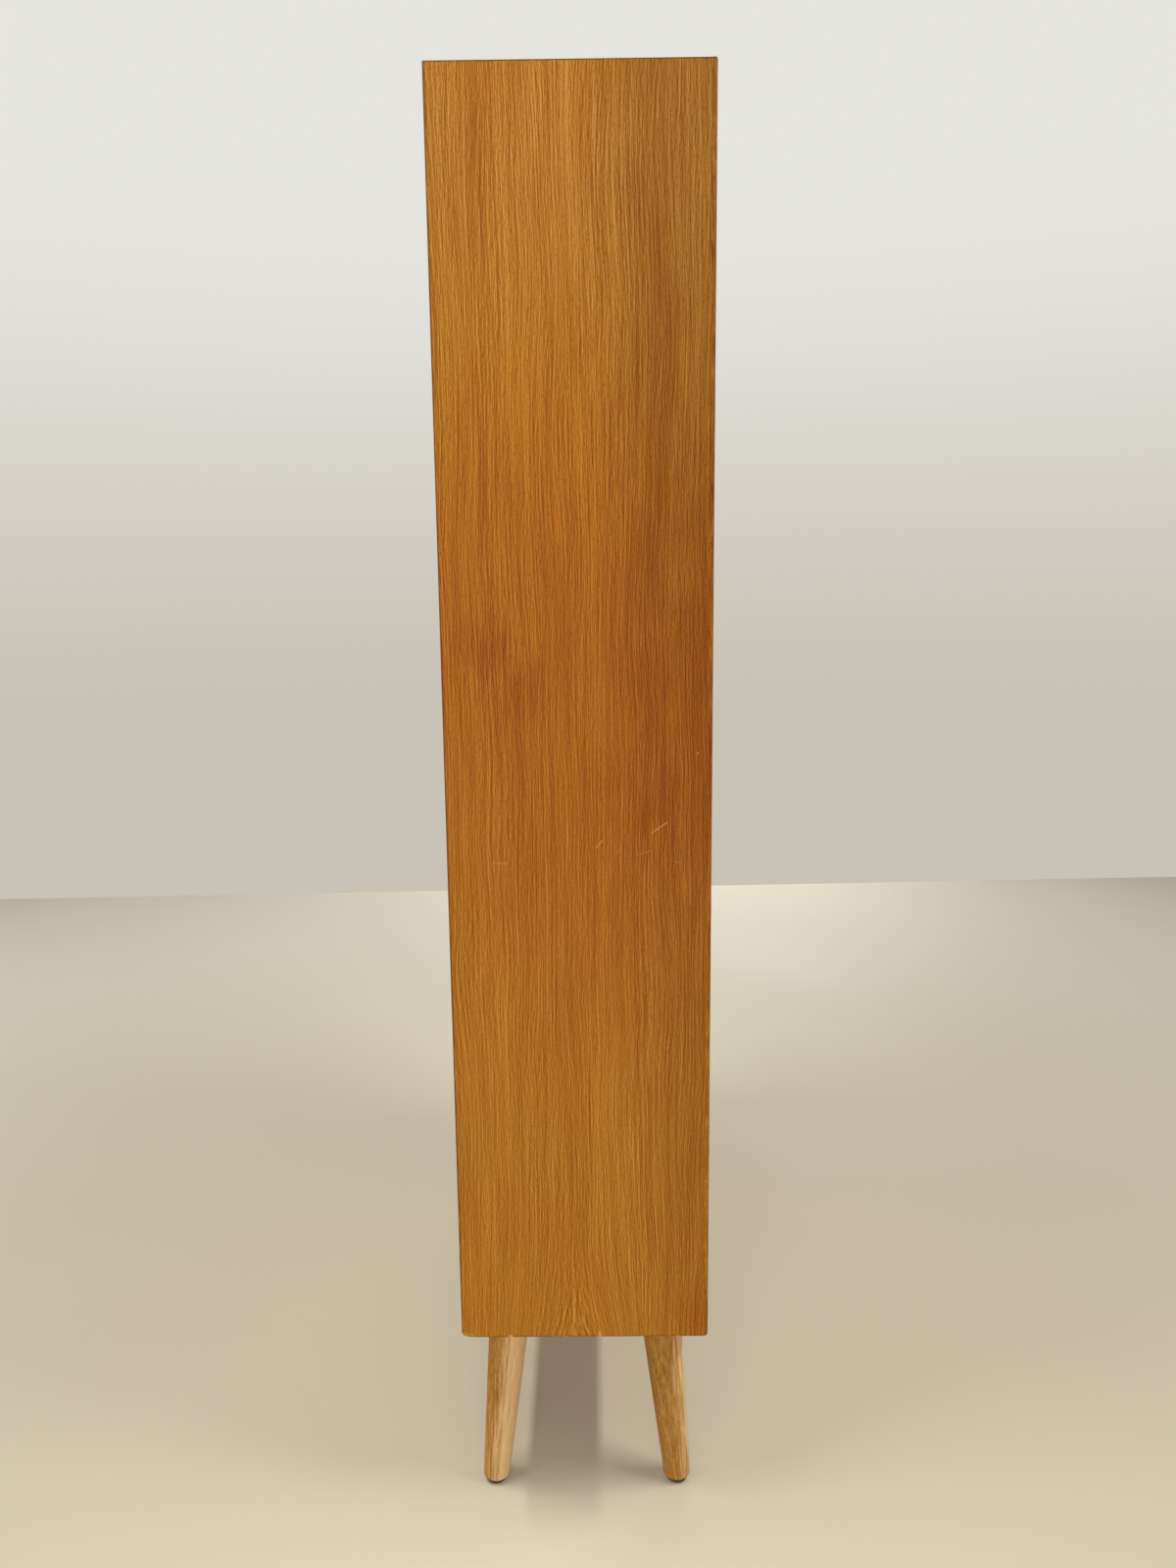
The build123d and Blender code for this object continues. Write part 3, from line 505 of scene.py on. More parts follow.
def new_finish(name, gloss=0.5, metallic=0.0):
    """Material with its node tree and the inputs of its shader."""
    material = bpy.data.materials.new(name)
    material.use_nodes = True
    sockets = material.node_tree.nodes["Principled BSDF"].inputs
    sockets["Specular IOR Level"].default_value = gloss
    sockets["Metallic"].default_value = metallic
    return material, Tree(material.node_tree), sockets


def feed_surface(tree, sockets, shade, roughness, height, distance, strength):
    """Feeds a shader its colour, roughness and raised texture."""
    tree.feed(sockets["Base Color"], shade)
    tree.feed(sockets["Roughness"], roughness)
    tree.feed(sockets["Normal"], tree.bump(height, distance, strength))


def finish_wood(tree, sockets, shade, figure, low, high):
    """Feeds the shader of a wooden finish, whose pale streaks are the smoothest."""
    roughness = tree.span(figure["Tone"], 0.0, 1.0, high, low)
    feed_surface(tree, sockets, shade, roughness, figure["Height"], 0.0001, 0.3)


def oak_shades(tree, figure, names):
    """Colour of the figure, from its pores to its palest streaks."""
    shades = [tone(name) for name in names]
    streaks = tree.ramp(figure["Tone"], list(zip(SHADE_STOPS, shades)))
    return tree.mix(tree.times(figure["Pores"], PORE_SHARE), streaks, shades[0])


def darkened_edges(tree, wood, dark_width, dark_share):
    """Darker line along the edges of a board, laid over its colour."""
    at = tree.note("board_at")
    distance = tree.use(edge_distance(), {"At": at, "Half": tree.note("board_half")})["Distance"]
    uneven = tree.noise(at, (120.0, 120.0, 60.0), 3.0)
    width = tree.times(uneven, 2 * dark_width)
    edge = tree.span(distance, width, tree.times(width, 0.5))
    return tree.mix(tree.times(edge, dark_share), wood, tone("edge_dark"))


def flat_point(pair, through=0.0):
    """Point on a side panel's face, as across, through and along the grain."""
    return (pair[0], through, pair[1])


def side_patina_and_sheen(tree, wood):
    """Tinted patches and stains of the left side panel, and a painted sheen near its top, laid over its
    colour.
    """
    across, _, along = tree.split(tree.note("face_at"))
    at = tree.join(across, 0.0, along)
    for marks, ragged in ((PATCHES, 0.4), (STAINS, 2.2)):
        for tint, centre, reach, share in marks:
            values = {
                "At": at, "Centre": flat_point(centre), "Reach": flat_point(reach, 1.0), "Ragged": ragged,
            }
            mask = tree.times(tree.use(soft_patch(), values)["Mask"], share)
            wood = tree.mix(mask, wood, tree.tinted(wood, tint))
    clouds = tree.noise(at, (26.0, 26.0, 7.0), 2.0)
    wood = tree.mix(tree.span(clouds, 0.42, 0.72, 0.0, 0.25), wood, tree.tinted(wood, REDDENED))
    return wood, at


def fan(*values):
    """Flame figure of a board: centre across, base, reach upwards, width and strength."""
    return dict(zip(("Fan Centre", "Fan Base", "Fan Reach", "Fan Width", "Fan Strength"), values))


def worn_veneer(name):
    """Lacquered veneer of the left side, with its patina, a painted sheen at the top, a darker line along its
    edges and scratches.
    """
    material, tree, sockets = new_finish(name, GLOSS)
    grain = tree.note("grain_at")
    values = {
        "At": grain, "Contrast": tree.span(tree.split(grain)[2], 0.4, 1.4, 0.95, 1.1),
        **fan(0.012, BODY_FOOT, 0.08, 0.055, 0.8),
    }
    figure = tree.use(oak_figure(), values)
    wood, at = side_patina_and_sheen(tree, oak_shades(tree, figure, OAK))
    # The darker line is fainter along the bottom edge
    dark_share = tree.span(tree.split(at)[2], BODY_FOOT + 0.0015, BODY_FOOT + 0.007, 0.3, 0.8)
    wood = darkened_edges(tree, wood, 0.0022, dark_share)
    for start, end, width, share in SCRATCHES:
        values = {"At": at, "Start": flat_point(start), "End": flat_point(end), "Width": width}
        mask = tree.times(tree.use(scratch(), values)["Mask"], share)
        wood = tree.mix(mask, wood, tone("oak_pale"))
    finish_wood(tree, sockets, wood, figure, 0.36, 0.5)
    return material


def board_finish(name, values, shades, dark_width, low, high, dark_share=0.7, patina_and_sheen=False):
    """Lacquered oak that follows the grain noted on a piece."""
    material, tree, sockets = new_finish(name, GLOSS)
    figure = tree.use(oak_figure(), {"At": tree.note("grain_at"), **values})
    wood = oak_shades(tree, figure, shades)
    # The left side's patches, stains and painted sheen
    if patina_and_sheen:
        wood, _ = side_patina_and_sheen(tree, wood)
    finish_wood(tree, sockets, darkened_edges(tree, wood, dark_width, dark_share), figure, low, high)
    return material


def oiled_oak(name):
    """Oak of the turned legs and knobs, painted darker on one side of each leg as shade and paler on the
    other as a sheen.
    """
    material, tree, sockets = new_finish(name, GLOSS)
    grain = tree.note("grain_at")
    values = {"At": grain, "Streaks": 250.0, "Length": 14.0, "Wander": 0.01, "Contrast": 0.95}
    figure = tree.use(oak_figure(), values)
    shade = oak_shades(tree, figure, LEG_OAK)
    # Painted light: each leg's shaded side is painted darker and its lit side paler, as a sheen
    aside, _, _ = tree.split(tree.note("heart_at"))
    aside = tree.math("MULTIPLY_ADD", tree.swing(grain, (300.0, 300.0, 14.0), 2.0), 2.0, aside)
    sheen = tree.mix(LEG_SHEEN_SHARE, shade, tone("leg_pale"))
    shade = tree.mix(tree.span(aside, -0.6, 0.6), sheen, tree.tinted(shade, LEG_PAINTED_SHADE))
    finish_wood(tree, sockets, shade, figure, 0.42, 0.58)
    return material


def raw_oak(name):
    """Raw wood in the chips."""
    material, tree, sockets = new_finish(name, GLOSS)
    figure = tree.use(oak_figure(), {"At": tree.note("grain_at"), "Streaks": 400.0, "Length": 60.0})
    finish_wood(tree, sockets, tree.mix(figure["Tone"], tone("leg_mid"), tone("bare_oak")), figure, 0.7, 0.85)
    return material


def plain_beech(name):
    """Splines and dowels inside the joints."""
    material, tree, sockets = new_finish(name, GLOSS)
    figure = tree.use(oak_figure(), {"At": tree.place(), "Streaks": 400.0, "Length": 40.0})
    finish_wood(tree, sockets, oak_shades(tree, figure, LEG_OAK), figure, 0.6, 0.75)
    return material


def fibre_board(name):
    """Board of the back, with pressed fibres and faint clouds."""
    material, tree, sockets = new_finish(name)
    at = tree.place()
    fibres = tree.noise(at, (900.0, 900.0, 260.0), 3.0, 0.6)
    share = tree.math("MULTIPLY_ADD", tree.swing(at, (7.0, 7.0, 4.0), 3.0), 0.8, fibres, clamp=True)
    shade = tree.ramp(share, [(0.25, tone("back_dark")), (0.75, tone("back_light"))])
    feed_surface(tree, sockets, shade, tree.span(fibres, 0.2, 0.8, 0.62, 0.82), fibres, 0.0002, 0.3)
    return material


def metal_finish(name, bright, dull, low, high):
    """Metal with dull smudges and fine marks."""
    material, tree, sockets = new_finish(name, metallic=1.0)
    marks = tree.use(smudges(), {"At": tree.place(), "Size": 0.018})
    shade = tree.mix(tree.times(marks["Mask"], DULL_SHARE), tone(bright), tone(dull))
    roughness = tree.math("MULTIPLY_ADD", marks["Mask"], high - low, low)
    feed_surface(tree, sockets, shade, roughness, marks["Fine"], 0.00005, 0.25)
    return material


def moulded_finish(name, shade, size, low, high):
    """Dull finish with a fine even texture."""
    material, tree, sockets = new_finish(name)
    marks = tree.use(smudges(), {"At": tree.place(), "Size": size})
    mixed = tree.mix(marks["Fine"], tree.tinted(tone(shade), MOULD_SHADE), tone(shade))
    roughness = tree.math("MULTIPLY_ADD", marks["Mask"], high - low, low)
    feed_surface(tree, sockets, mixed, roughness, marks["Fine"], 0.0002, 0.4)
    return material


# What makes each finish, and from which values
FINISHES = {
    "left_side_veneer": (worn_veneer,),
    "right_side_veneer": (board_finish, fan(0.03, BODY_FOOT, 0.35, 0.05, 0.6), OAK, 0.0016, 0.36, 0.5),
    "board_veneer": (board_finish, {}, OAK, 0.0016, 0.36, 0.5),
    "door_veneer": (board_finish, fan(0.21, DOOR_FOOT, 0.5, 0.09, 0.7), OAK, 0.0006, 0.34, 0.46),
    "lipping_oak": (board_finish, {"Streaks": 240.0, "Length": 12.0}, OAK, 0.0014, 0.36, 0.5, 0.75, True),
    "shelf_oak": (board_finish, {}, LEG_OAK, 0.0012, 0.42, 0.56),
    "turned_oak": (oiled_oak,),
    "bare_oak": (raw_oak,),
    "joint_beech": (plain_beech,),
    "back_board": (fibre_board,),
    "brass": (metal_finish, "brass", "brass_dull", 0.26, 0.48),
    "steel": (metal_finish, "steel", "steel_dull", 0.3, 0.5),
    "catch_plastic": (moulded_finish, "catch_brown", 0.006, 0.4, 0.55),
    "magnet_block": (moulded_finish, "magnet_grey", 0.004, 0.5, 0.65),
    "felt": (moulded_finish, "felt_brown", 0.003, 0.9, 1.0),
}


@cache
def finish(name):
    """Material of a name, made the first time it is asked for."""
    make, *values = FINISHES[name]
    return make(name, *values)


# Meshes

def cad_triangles(node):
    """Corner points of the triangles of a CAD node."""
    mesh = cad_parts[node].data
    mesh.calc_loop_triangles()
    points = np.empty(3 * len(mesh.vertices), np.float32)
    mesh.vertices.foreach_get("co", points)
    corners = np.empty(3 * len(mesh.loop_triangles), np.int32)
    mesh.loop_triangles.foreach_get("vertices", corners)
    return points.reshape(-1, 3)[corners].reshape(-1, 3, 3)


def welded(triangles):
    """Closed shell from loose triangles."""
    shell = bmesh.new()
    for corners in triangles:
        shell.faces.new([shell.verts.new(point) for point in corners])
    bmesh.ops.remove_doubles(shell, verts=shell.verts, dist=WELD)
    return shell


def whole_faces(triangles):
    """Closed shell from loose triangles, with its flat faces made whole again."""
    shell = welded(triangles)
    bmesh.ops.dissolve_limit(shell, angle_limit=FLAT_ANGLE, verts=shell.verts, edges=shell.edges)
    return shell


def strips_of(node, low, high, cross=None):
    """Shells of a node's mitred strips: left, right, bottom, top, and a cross strip where there is one."""
    triangles = cad_triangles(node)
    normals = np.cross(triangles[:, 1] - triangles[:, 0], triangles[:, 2] - triangles[:, 0])
    normals /= np.maximum(np.linalg.norm(normals, axis=1, keepdims=True), LEAST_NORMAL)
    x, _, z = (triangles.mean(axis=1) - JUST_INSIDE * normals).T
    nearest = np.argmin([x - low.x, high.x - x, z - low.z, high.z - z], axis=0)
    if cross:
        reach, bottom, top = cross
        nearest[(abs(x) < reach) & (z > bottom) & (z < top)] = 4
    return [whole_faces(triangles[nearest == kind]) for kind in range(nearest.max() + 1)]


def soften(shell, picked, width):
    """Rounds the edges whose two ends pass the test."""
    edges = [edge for edge in shell.edges if picked(edge.verts[0].co, edge.verts[1].co)]
    bmesh.ops.bevel(
        shell, geom=edges, offset=width, segments=2, profile=0.5, affect="EDGES", clamp_overlap=True
    )


def stamp(shell, grain, low, high, shift=0.0, start=Vector()):
    """Notes on each point its place along the grain, measured from a start, and in its board."""
    layers = shell.verts.layers.float_vector
    notes = {name: layers.new(name) for name in ("grain_at", "board_at", "board_half", "face_at")}
    centre, half = (low + high) / 2, (high - low) / 2
    for vert in shell.verts:
        at = Vector([axis.dot(vert.co - start) for axis in grain])
        vert[notes["grain_at"]] = at + Vector((shift, 0, shift))
        vert[notes["board_at"]] = vert.co - centre
        vert[notes["board_half"]] = half
        outside = Vector((vert.co.y, 0, vert.co.z))
        vert[notes["face_at"]] = outside if vert.co.x < LEFT_SIDE else Vector((FAR_OFF, 0, FAR_OFF))
    return shell


def freed_mesh(name, shell):
    """Mesh made from a shell, which is then let go."""
    mesh = bpy.data.meshes.new(name)
    shell.to_mesh(mesh)
    shell.free()
    return mesh


def link(name, data):
    """New object for a mesh, lamp or camera, at the origin."""
    made = bpy.data.objects.new(name, data)
    bpy.context.scene.collection.objects.link(made)
    return made


def settle(piece):
    """Turns a piece and its modifiers into a plain mesh."""
    depsgraph = bpy.context.evaluated_depsgraph_get()
    mesh = bpy.data.meshes.new_from_object(
        piece.evaluated_get(depsgraph), preserve_all_data_layers=True, depsgraph=depsgraph
    )
    piece.modifiers.clear()
    rough, piece.data = piece.data, mesh
    bpy.data.meshes.remove(rough)
    mesh.name = piece.name


def make_piece(name, body, slot, nodes, shells, *finishes):
    """Joins shells into one piece that stands for CAD nodes and rides on their body."""
    whole = bmesh.new()
    for shell in shells:
        part = freed_mesh("part", shell)
        whole.from_mesh(part)
        bpy.data.meshes.remove(part)
    mesh = freed_mesh(name, whole)
    for look in finishes:
        mesh.materials.append(finish(look))
    mesh.shade_smooth()
    mesh.set_sharp_from_angle(angle=SHARP_ANGLE)
    piece = link(name, mesh)
    piece.modifiers.new("even_shading", "WEIGHTED_NORMAL").keep_sharp = True
    settle(piece)
    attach(piece, body)
    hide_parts(*nodes)
    return piece


def on_outside(axis, level, joint=LIPPING_JOINT):
    """Test for edges on an outer face, apart from the joint with the lipping."""

    def picked(start, end):
        if abs(start[axis] - level) > NEAR or abs(end[axis] - level) > NEAR:
            return False
        return max(start.y, end.y) > joint + NEAR

    return picked


# Chips on the bottom edge of the left side: place along y, half length, height
CHIPS = [
    (0.0910, 0.0030, 0.0030),
    (0.0235, 0.0042, 0.0010),
    (0.0345, 0.0030, 0.0010),
    (-0.0182, 0.0022, 0.0072),
    (-0.1130, 0.0030, 0.0010),
]

CHIP_SEED, CHIP_UNEVEN = 5, 0.22

# Worn bottom corners of the left side: end of the cabinet, length along the bottom, height, depth inward
WORN_CORNERS = [(1, 0.022, 0.007, 0.03), (-1, 0.008, 0.005, 0.012)]
# Steps of a corner's curve, how much of it is left at its inner end,
# and how far a cutter stands out of the board
CORNER_STEPS, INNER_SHARE, MARGIN = 9, 0.1, 0.001


def add_chips(cutters, level, face_x):
    """Ragged lumps along the bottom edge."""
    draw = np.random.default_rng(CHIP_SEED)
    for place, half, height in CHIPS:
        lump = bmesh.ops.create_icosphere(cutters, subdivisions=2, radius=1.0)["verts"]
        for vert in lump:
            swell = 1.0 + draw.uniform(-CHIP_UNEVEN, CHIP_UNEVEN)
            size = Vector((sizes().chip_depth, half, height)) * swell
            vert.co = Vector((face_x, place, level)) + vert.co * size


def add_worn_corner(cutters, level, face_x, edge_y, corner):
    """Wedge whose inner side is a rounded corner, widest at the outer face."""
    end, run, height, depth = corner
    rings = []
    for x, share in ((face_x - MARGIN, 1.0), (face_x + depth, INNER_SHARE)):
        outline = [(MARGIN, share * height)]
        for step in range(CORNER_STEPS):
            turn = step / (CORNER_STEPS - 1)
            outline.append((-share * run * turn ** 2, share * height * (1 - turn) ** 2))
        outline += [(-share * run, -MARGIN), (MARGIN, -MARGIN)]
        rings.append([cutters.verts.new((x, edge_y + end * out, level + up)) for out, up in outline])
    cutters.faces.new(rings[0])
    cutters.faces.new(reversed(rings[1]))
    count = len(rings[0])
    for index in range(count):
        after = (index + 1) % count
        cutters.faces.new((rings[0][after], rings[0][index], rings[1][index], rings[1][after]))


def wear_cutters(level, face_x, ends):
    """Mesh that takes the chips and worn corners out of the boards."""
    cutters = bmesh.new()
    add_chips(cutters, level, face_x)
    for corner, edge_y in zip(WORN_CORNERS, ends):
        add_worn_corner(cutters, level, face_x, edge_y, corner)
    bmesh.ops.recalc_face_normals(cutters, faces=cutters.faces)
    for face in cutters.faces:
        face.material_index = 1
    return link("wear_cutters", freed_mesh("wear_cutters", cutters))


def wear_down(shell):
    """Cuts the wear of the left side's bottom edge out of a shell."""
    low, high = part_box("left_side_panel")
    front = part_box("carcass_lipping")[0].y
    board = link("worn", freed_mesh("worn", shell))
    cutter = wear_cutters(low.z, low.x, (high.y, front))
    for piece in (board, cutter):
        for look in ("left_side_veneer", "bare_oak"):
            piece.data.materials.append(finish(look))
    cut = board.modifiers.new("wear", "BOOLEAN")
    cut.object = cutter
    cut.solver = "EXACT"
    cut.material_mode = "INDEX"
    settle(board)
    worn = bmesh.new()
    worn.from_mesh(board.data)
    for piece in (board, cutter):
        mesh = piece.data
        bpy.data.objects.remove(piece)
        bpy.data.meshes.remove(mesh)
    return worn


# Operators

class PANTRY_OT_carcass(bpy.types.Operator):
    """Dress the sides, top, bottom and divider of the carcass"""

    bl_idname = "pantry.carcass"
    bl_label = "Carcass boards"

    def execute(self, context):
        low, high = Vector(CAD_BOX[0]), Vector(CAD_BOX[1])
        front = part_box("carcass_lipping")[0].y
        for name, grain, axis, level, look, worn in (
            ("left_side", UPRIGHT_SIDE, 0, low.x, "left_side_veneer", True),
            ("right_side", UPRIGHT_SIDE, 0, high.x, "right_side_veneer", False),
            ("top", LEVEL_BOARD, 2, high.z, "board_veneer", False),
            ("bottom", LEVEL_BOARD, 2, BODY_FOOT, "board_veneer", True),
            ("divider", LEVEL_BOARD, 2, None, "board_veneer", False),
        ):
            node, looks = f"{name}_panel", [look]
            shell = whole_faces(cad_triangles(node))
            if level is not None:
                soften(shell, on_outside(axis, level), sizes().board_arris)
            if worn:
                shell = wear_down(shell)
                looks.append("bare_oak")
            board_low, board_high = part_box(node)
            board_low.y = front
            stamp(shell, grain, board_low, board_high)
            make_piece(f"{name}_board", "cabinet", "aged_oak_veneer", [node], [shell], *looks)
        return {"FINISHED"}


class PANTRY_OT_lipping(bpy.types.Operator):
    """Dress the solid oak strips on the front edges of the carcass"""

    bl_idname = "pantry.lipping"
    bl_label = "Carcass lipping"

    def execute(self, context):
        low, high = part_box("carcass_lipping")
        divider_low, divider_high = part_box("divider_panel")
        cross = (divider_high.x, divider_low.z, divider_high.z)
        boards = ["left_side_panel", "right_side_panel", "bottom_panel", "top_panel", "divider_panel"]
        shells = []
        for index, shell in enumerate(strips_of("carcass_lipping", low, high, cross)):
            board_low, board_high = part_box(boards[index])
            board_low.y = low.y
            grain = UPRIGHT_FRONT if index < 2 else LEVEL_STRIP
            if index in (0, 2):
                shell = wear_down(shell)
            shells.append(stamp(shell, grain, board_low, board_high, LIPPING_STEP * index))
        looks = ("lipping_oak", "bare_oak")
        make_piece("front_lipping", "cabinet", "oak_lipping", ["carcass_lipping"], shells, *looks)
        return {"FINISHED"}


class PANTRY_OT_doors(bpy.types.Operator):
    """Dress the four doors with their lipping and knobs"""

    bl_idname = "pantry.doors"
    bl_label = "Doors and knobs"

    def execute(self, context):
        for door in DOORS:
            body = f"{door}_door"
            side = -1 if door.endswith("left") else 1
            mirrored = (ACROSS_X * side, ACROSS_Y, ACROSS_Z)
            panel, lipping, knob = f"{door}_door_panel", f"{door}_door_lipping", f"{door}_knob"
            low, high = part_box(lipping)
            shell = whole_faces(cad_triangles(panel))
            soften(shell, on_outside(1, low.y, -FAR_OFF), sizes().joint_arris)
            stamp(shell, mirrored, low, high)
            make_piece(f"{door}_door_board", body, "aged_oak_veneer", [panel], [shell], "door_veneer")
            shells = []
            for index, shell in enumerate(strips_of(lipping, low, high)):
                grain = UPRIGHT_FRONT if index < 2 else LEVEL_STRIP
                shells.append(stamp(shell, grain, low, high, STRIP_STEP * index))
            make_piece(f"{door}_door_strips", body, "oak_lipping", [lipping], shells, "lipping_oak")
            shell = welded(cad_triangles(knob))
            stamp(shell, UPRIGHT_FRONT, *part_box(knob))
            make_piece(f"{door}_turned_knob", body, "leg_oak", [knob], [shell], "turned_oak")
        return {"FINISHED"}


class PANTRY_OT_shelves(bpy.types.Operator):
    """Dress the loose shelves"""

    bl_idname = "pantry.shelves"
    bl_label = "Shelves"

    def execute(self, context):
        for node in SHELVES:
            shell = whole_faces(cad_triangles(node))
            stamp(shell, LEVEL_BOARD, *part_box(node))
            make_piece(f"{node}_oak", f"{node}_board", "shelf_oak", [node], [shell], "shelf_oak")
        return {"FINISHED"}


# Outline of a felt pad's rim from below: how far inward, the share of its height, and a little up or down
PAD_RIM = [(0.0008, 0, 0.0), (0.0001, 0, 0.0006), (0.0, 0.4, 0.0), (0.0001, 1, -0.0006), (0.0006, 1, 0.0)]
PAD_STEPS, PAD_SEED = 72, 3


class PANTRY_OT_legs(bpy.types.Operator):
    """Dress the turned legs and make the felt under them"""

    bl_idname = "pantry.legs"
    bl_label = "Legs and felt"

    def execute(self, context):
        slope, inset = sizes().leg_slope, sizes().leg_inset
        for index, leg in enumerate(LEGS):
            node = f"{leg}_leg"
            low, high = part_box(node)
            side, end = math.copysign(1, low.x + high.x), math.copysign(1, low.y + high.y)
            along = Vector((-side * slope, -end * slope, 1)).normalized()
            across = ACROSS_Y.cross(along).normalized()
            grain = (across, along.cross(across), along)
            top = Vector((side * (CAD_BOX[1][0] - inset), end * (CAD_BOX[1][1] - inset), high.z))
            shell = stamp(welded(cad_triangles(node)), grain, low, high, LEG_STEP * index, top)
            # Where each point lies across the leg, from the painted shade to the painted sheen
            sheen_side = shell.verts.layers.float_vector.new("heart_at")
            for vert in shell.verts:
                aside = grain[1].dot(vert.co - top) / sizes().leg_radius
                vert[sheen_side] = Vector((aside - LEG_SHEEN_STARTS[leg], 0, 0))
            make_piece(f"{leg}_turned_leg", "cabinet", "leg_oak", [node], [shell], "turned_oak")
        self.make_felt()
        return {"FINISHED"}

    def make_felt(self):
        """Round felt pads with a slightly uneven edge."""
        low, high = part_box("foot_glides")
        radius, height = sizes().glide_radius, high.z - low.z
        rim = [(radius - inward, height * share + up) for inward, share, up in PAD_RIM]
        draw = np.random.default_rng(PAD_SEED)
        pads = bmesh.new()
        for side in (-1, 1):
            for end in (-1, 1):
                foot = Vector((side * (high.x - radius), end * (high.y - radius), low.z))
                self.turn_pad(pads, foot, rim, draw)
        bmesh.ops.recalc_face_normals(pads, faces=pads.faces)
        stamp(pads, UPRIGHT_FRONT, low, high)
        make_piece("felt_pads", "cabinet", "felt", ["foot_glides"], [pads], "felt")

    def turn_pad(self, pads, middle, rim, draw):
        """One pad turned from its rim's outline, closed by a fan of faces at each end."""
        rings = []
        for radius, height in rim:
            ring = []
            for step in range(PAD_STEPS):
                angle = 2 * math.pi * step / PAD_STEPS
                uneven = radius - abs(draw.normal(0, 1)) * sizes().glide_fuzz
                place = Vector((uneven * math.cos(angle), uneven * math.sin(angle), height))
                ring.append(pads.verts.new(middle + place))
            rings.append(ring)
        for below, above in zip(rings, rings[1:]):
            for step in range(PAD_STEPS):
                after = (step + 1) % PAD_STEPS
                pads.faces.new((below[step], below[after], above[after], above[step]))
        for ring, (_, height) in ((rings[0], rim[0]), (rings[-1], rim[-1])):
            hub = pads.verts.new(middle + Vector((0, 0, height)))
            for step in range(PAD_STEPS):
                pads.faces.new((ring[step], ring[(step + 1) % PAD_STEPS], hub))


def screw_places(node, looks):
    """Head centre, aim, head radius and length of each screw in a node; looks gives the aim from its box."""
    shell = welded(cad_triangles(node))
    shell.verts.ensure_lookup_table()
    found, places = set(), []
    for start in shell.verts:
        if start.index in found:
            continue
        island, waiting = [], [start]
        found.add(start.index)
        while waiting:
            vert = waiting.pop()
            island.append(vert.co.copy())
            for edge in vert.link_edges:
                other = edge.other_vert(vert)
                if other.index not in found:
                    found.add(other.index)
                    waiting.append(other)
        low, high = (Vector(map(pick, zip(*island))) for pick in (min, max))
        aim = looks(low, high)
        reach = high - low
        long = sum(abs(aim[axis]) * reach[axis] for axis in range(3))
        places.append(((low + high) / 2 + aim * long / 2, aim, min(reach) / 2, long))
    shell.free()
    return places


SCREW_SIDES, SCREW_WELD = 28, 0.00003


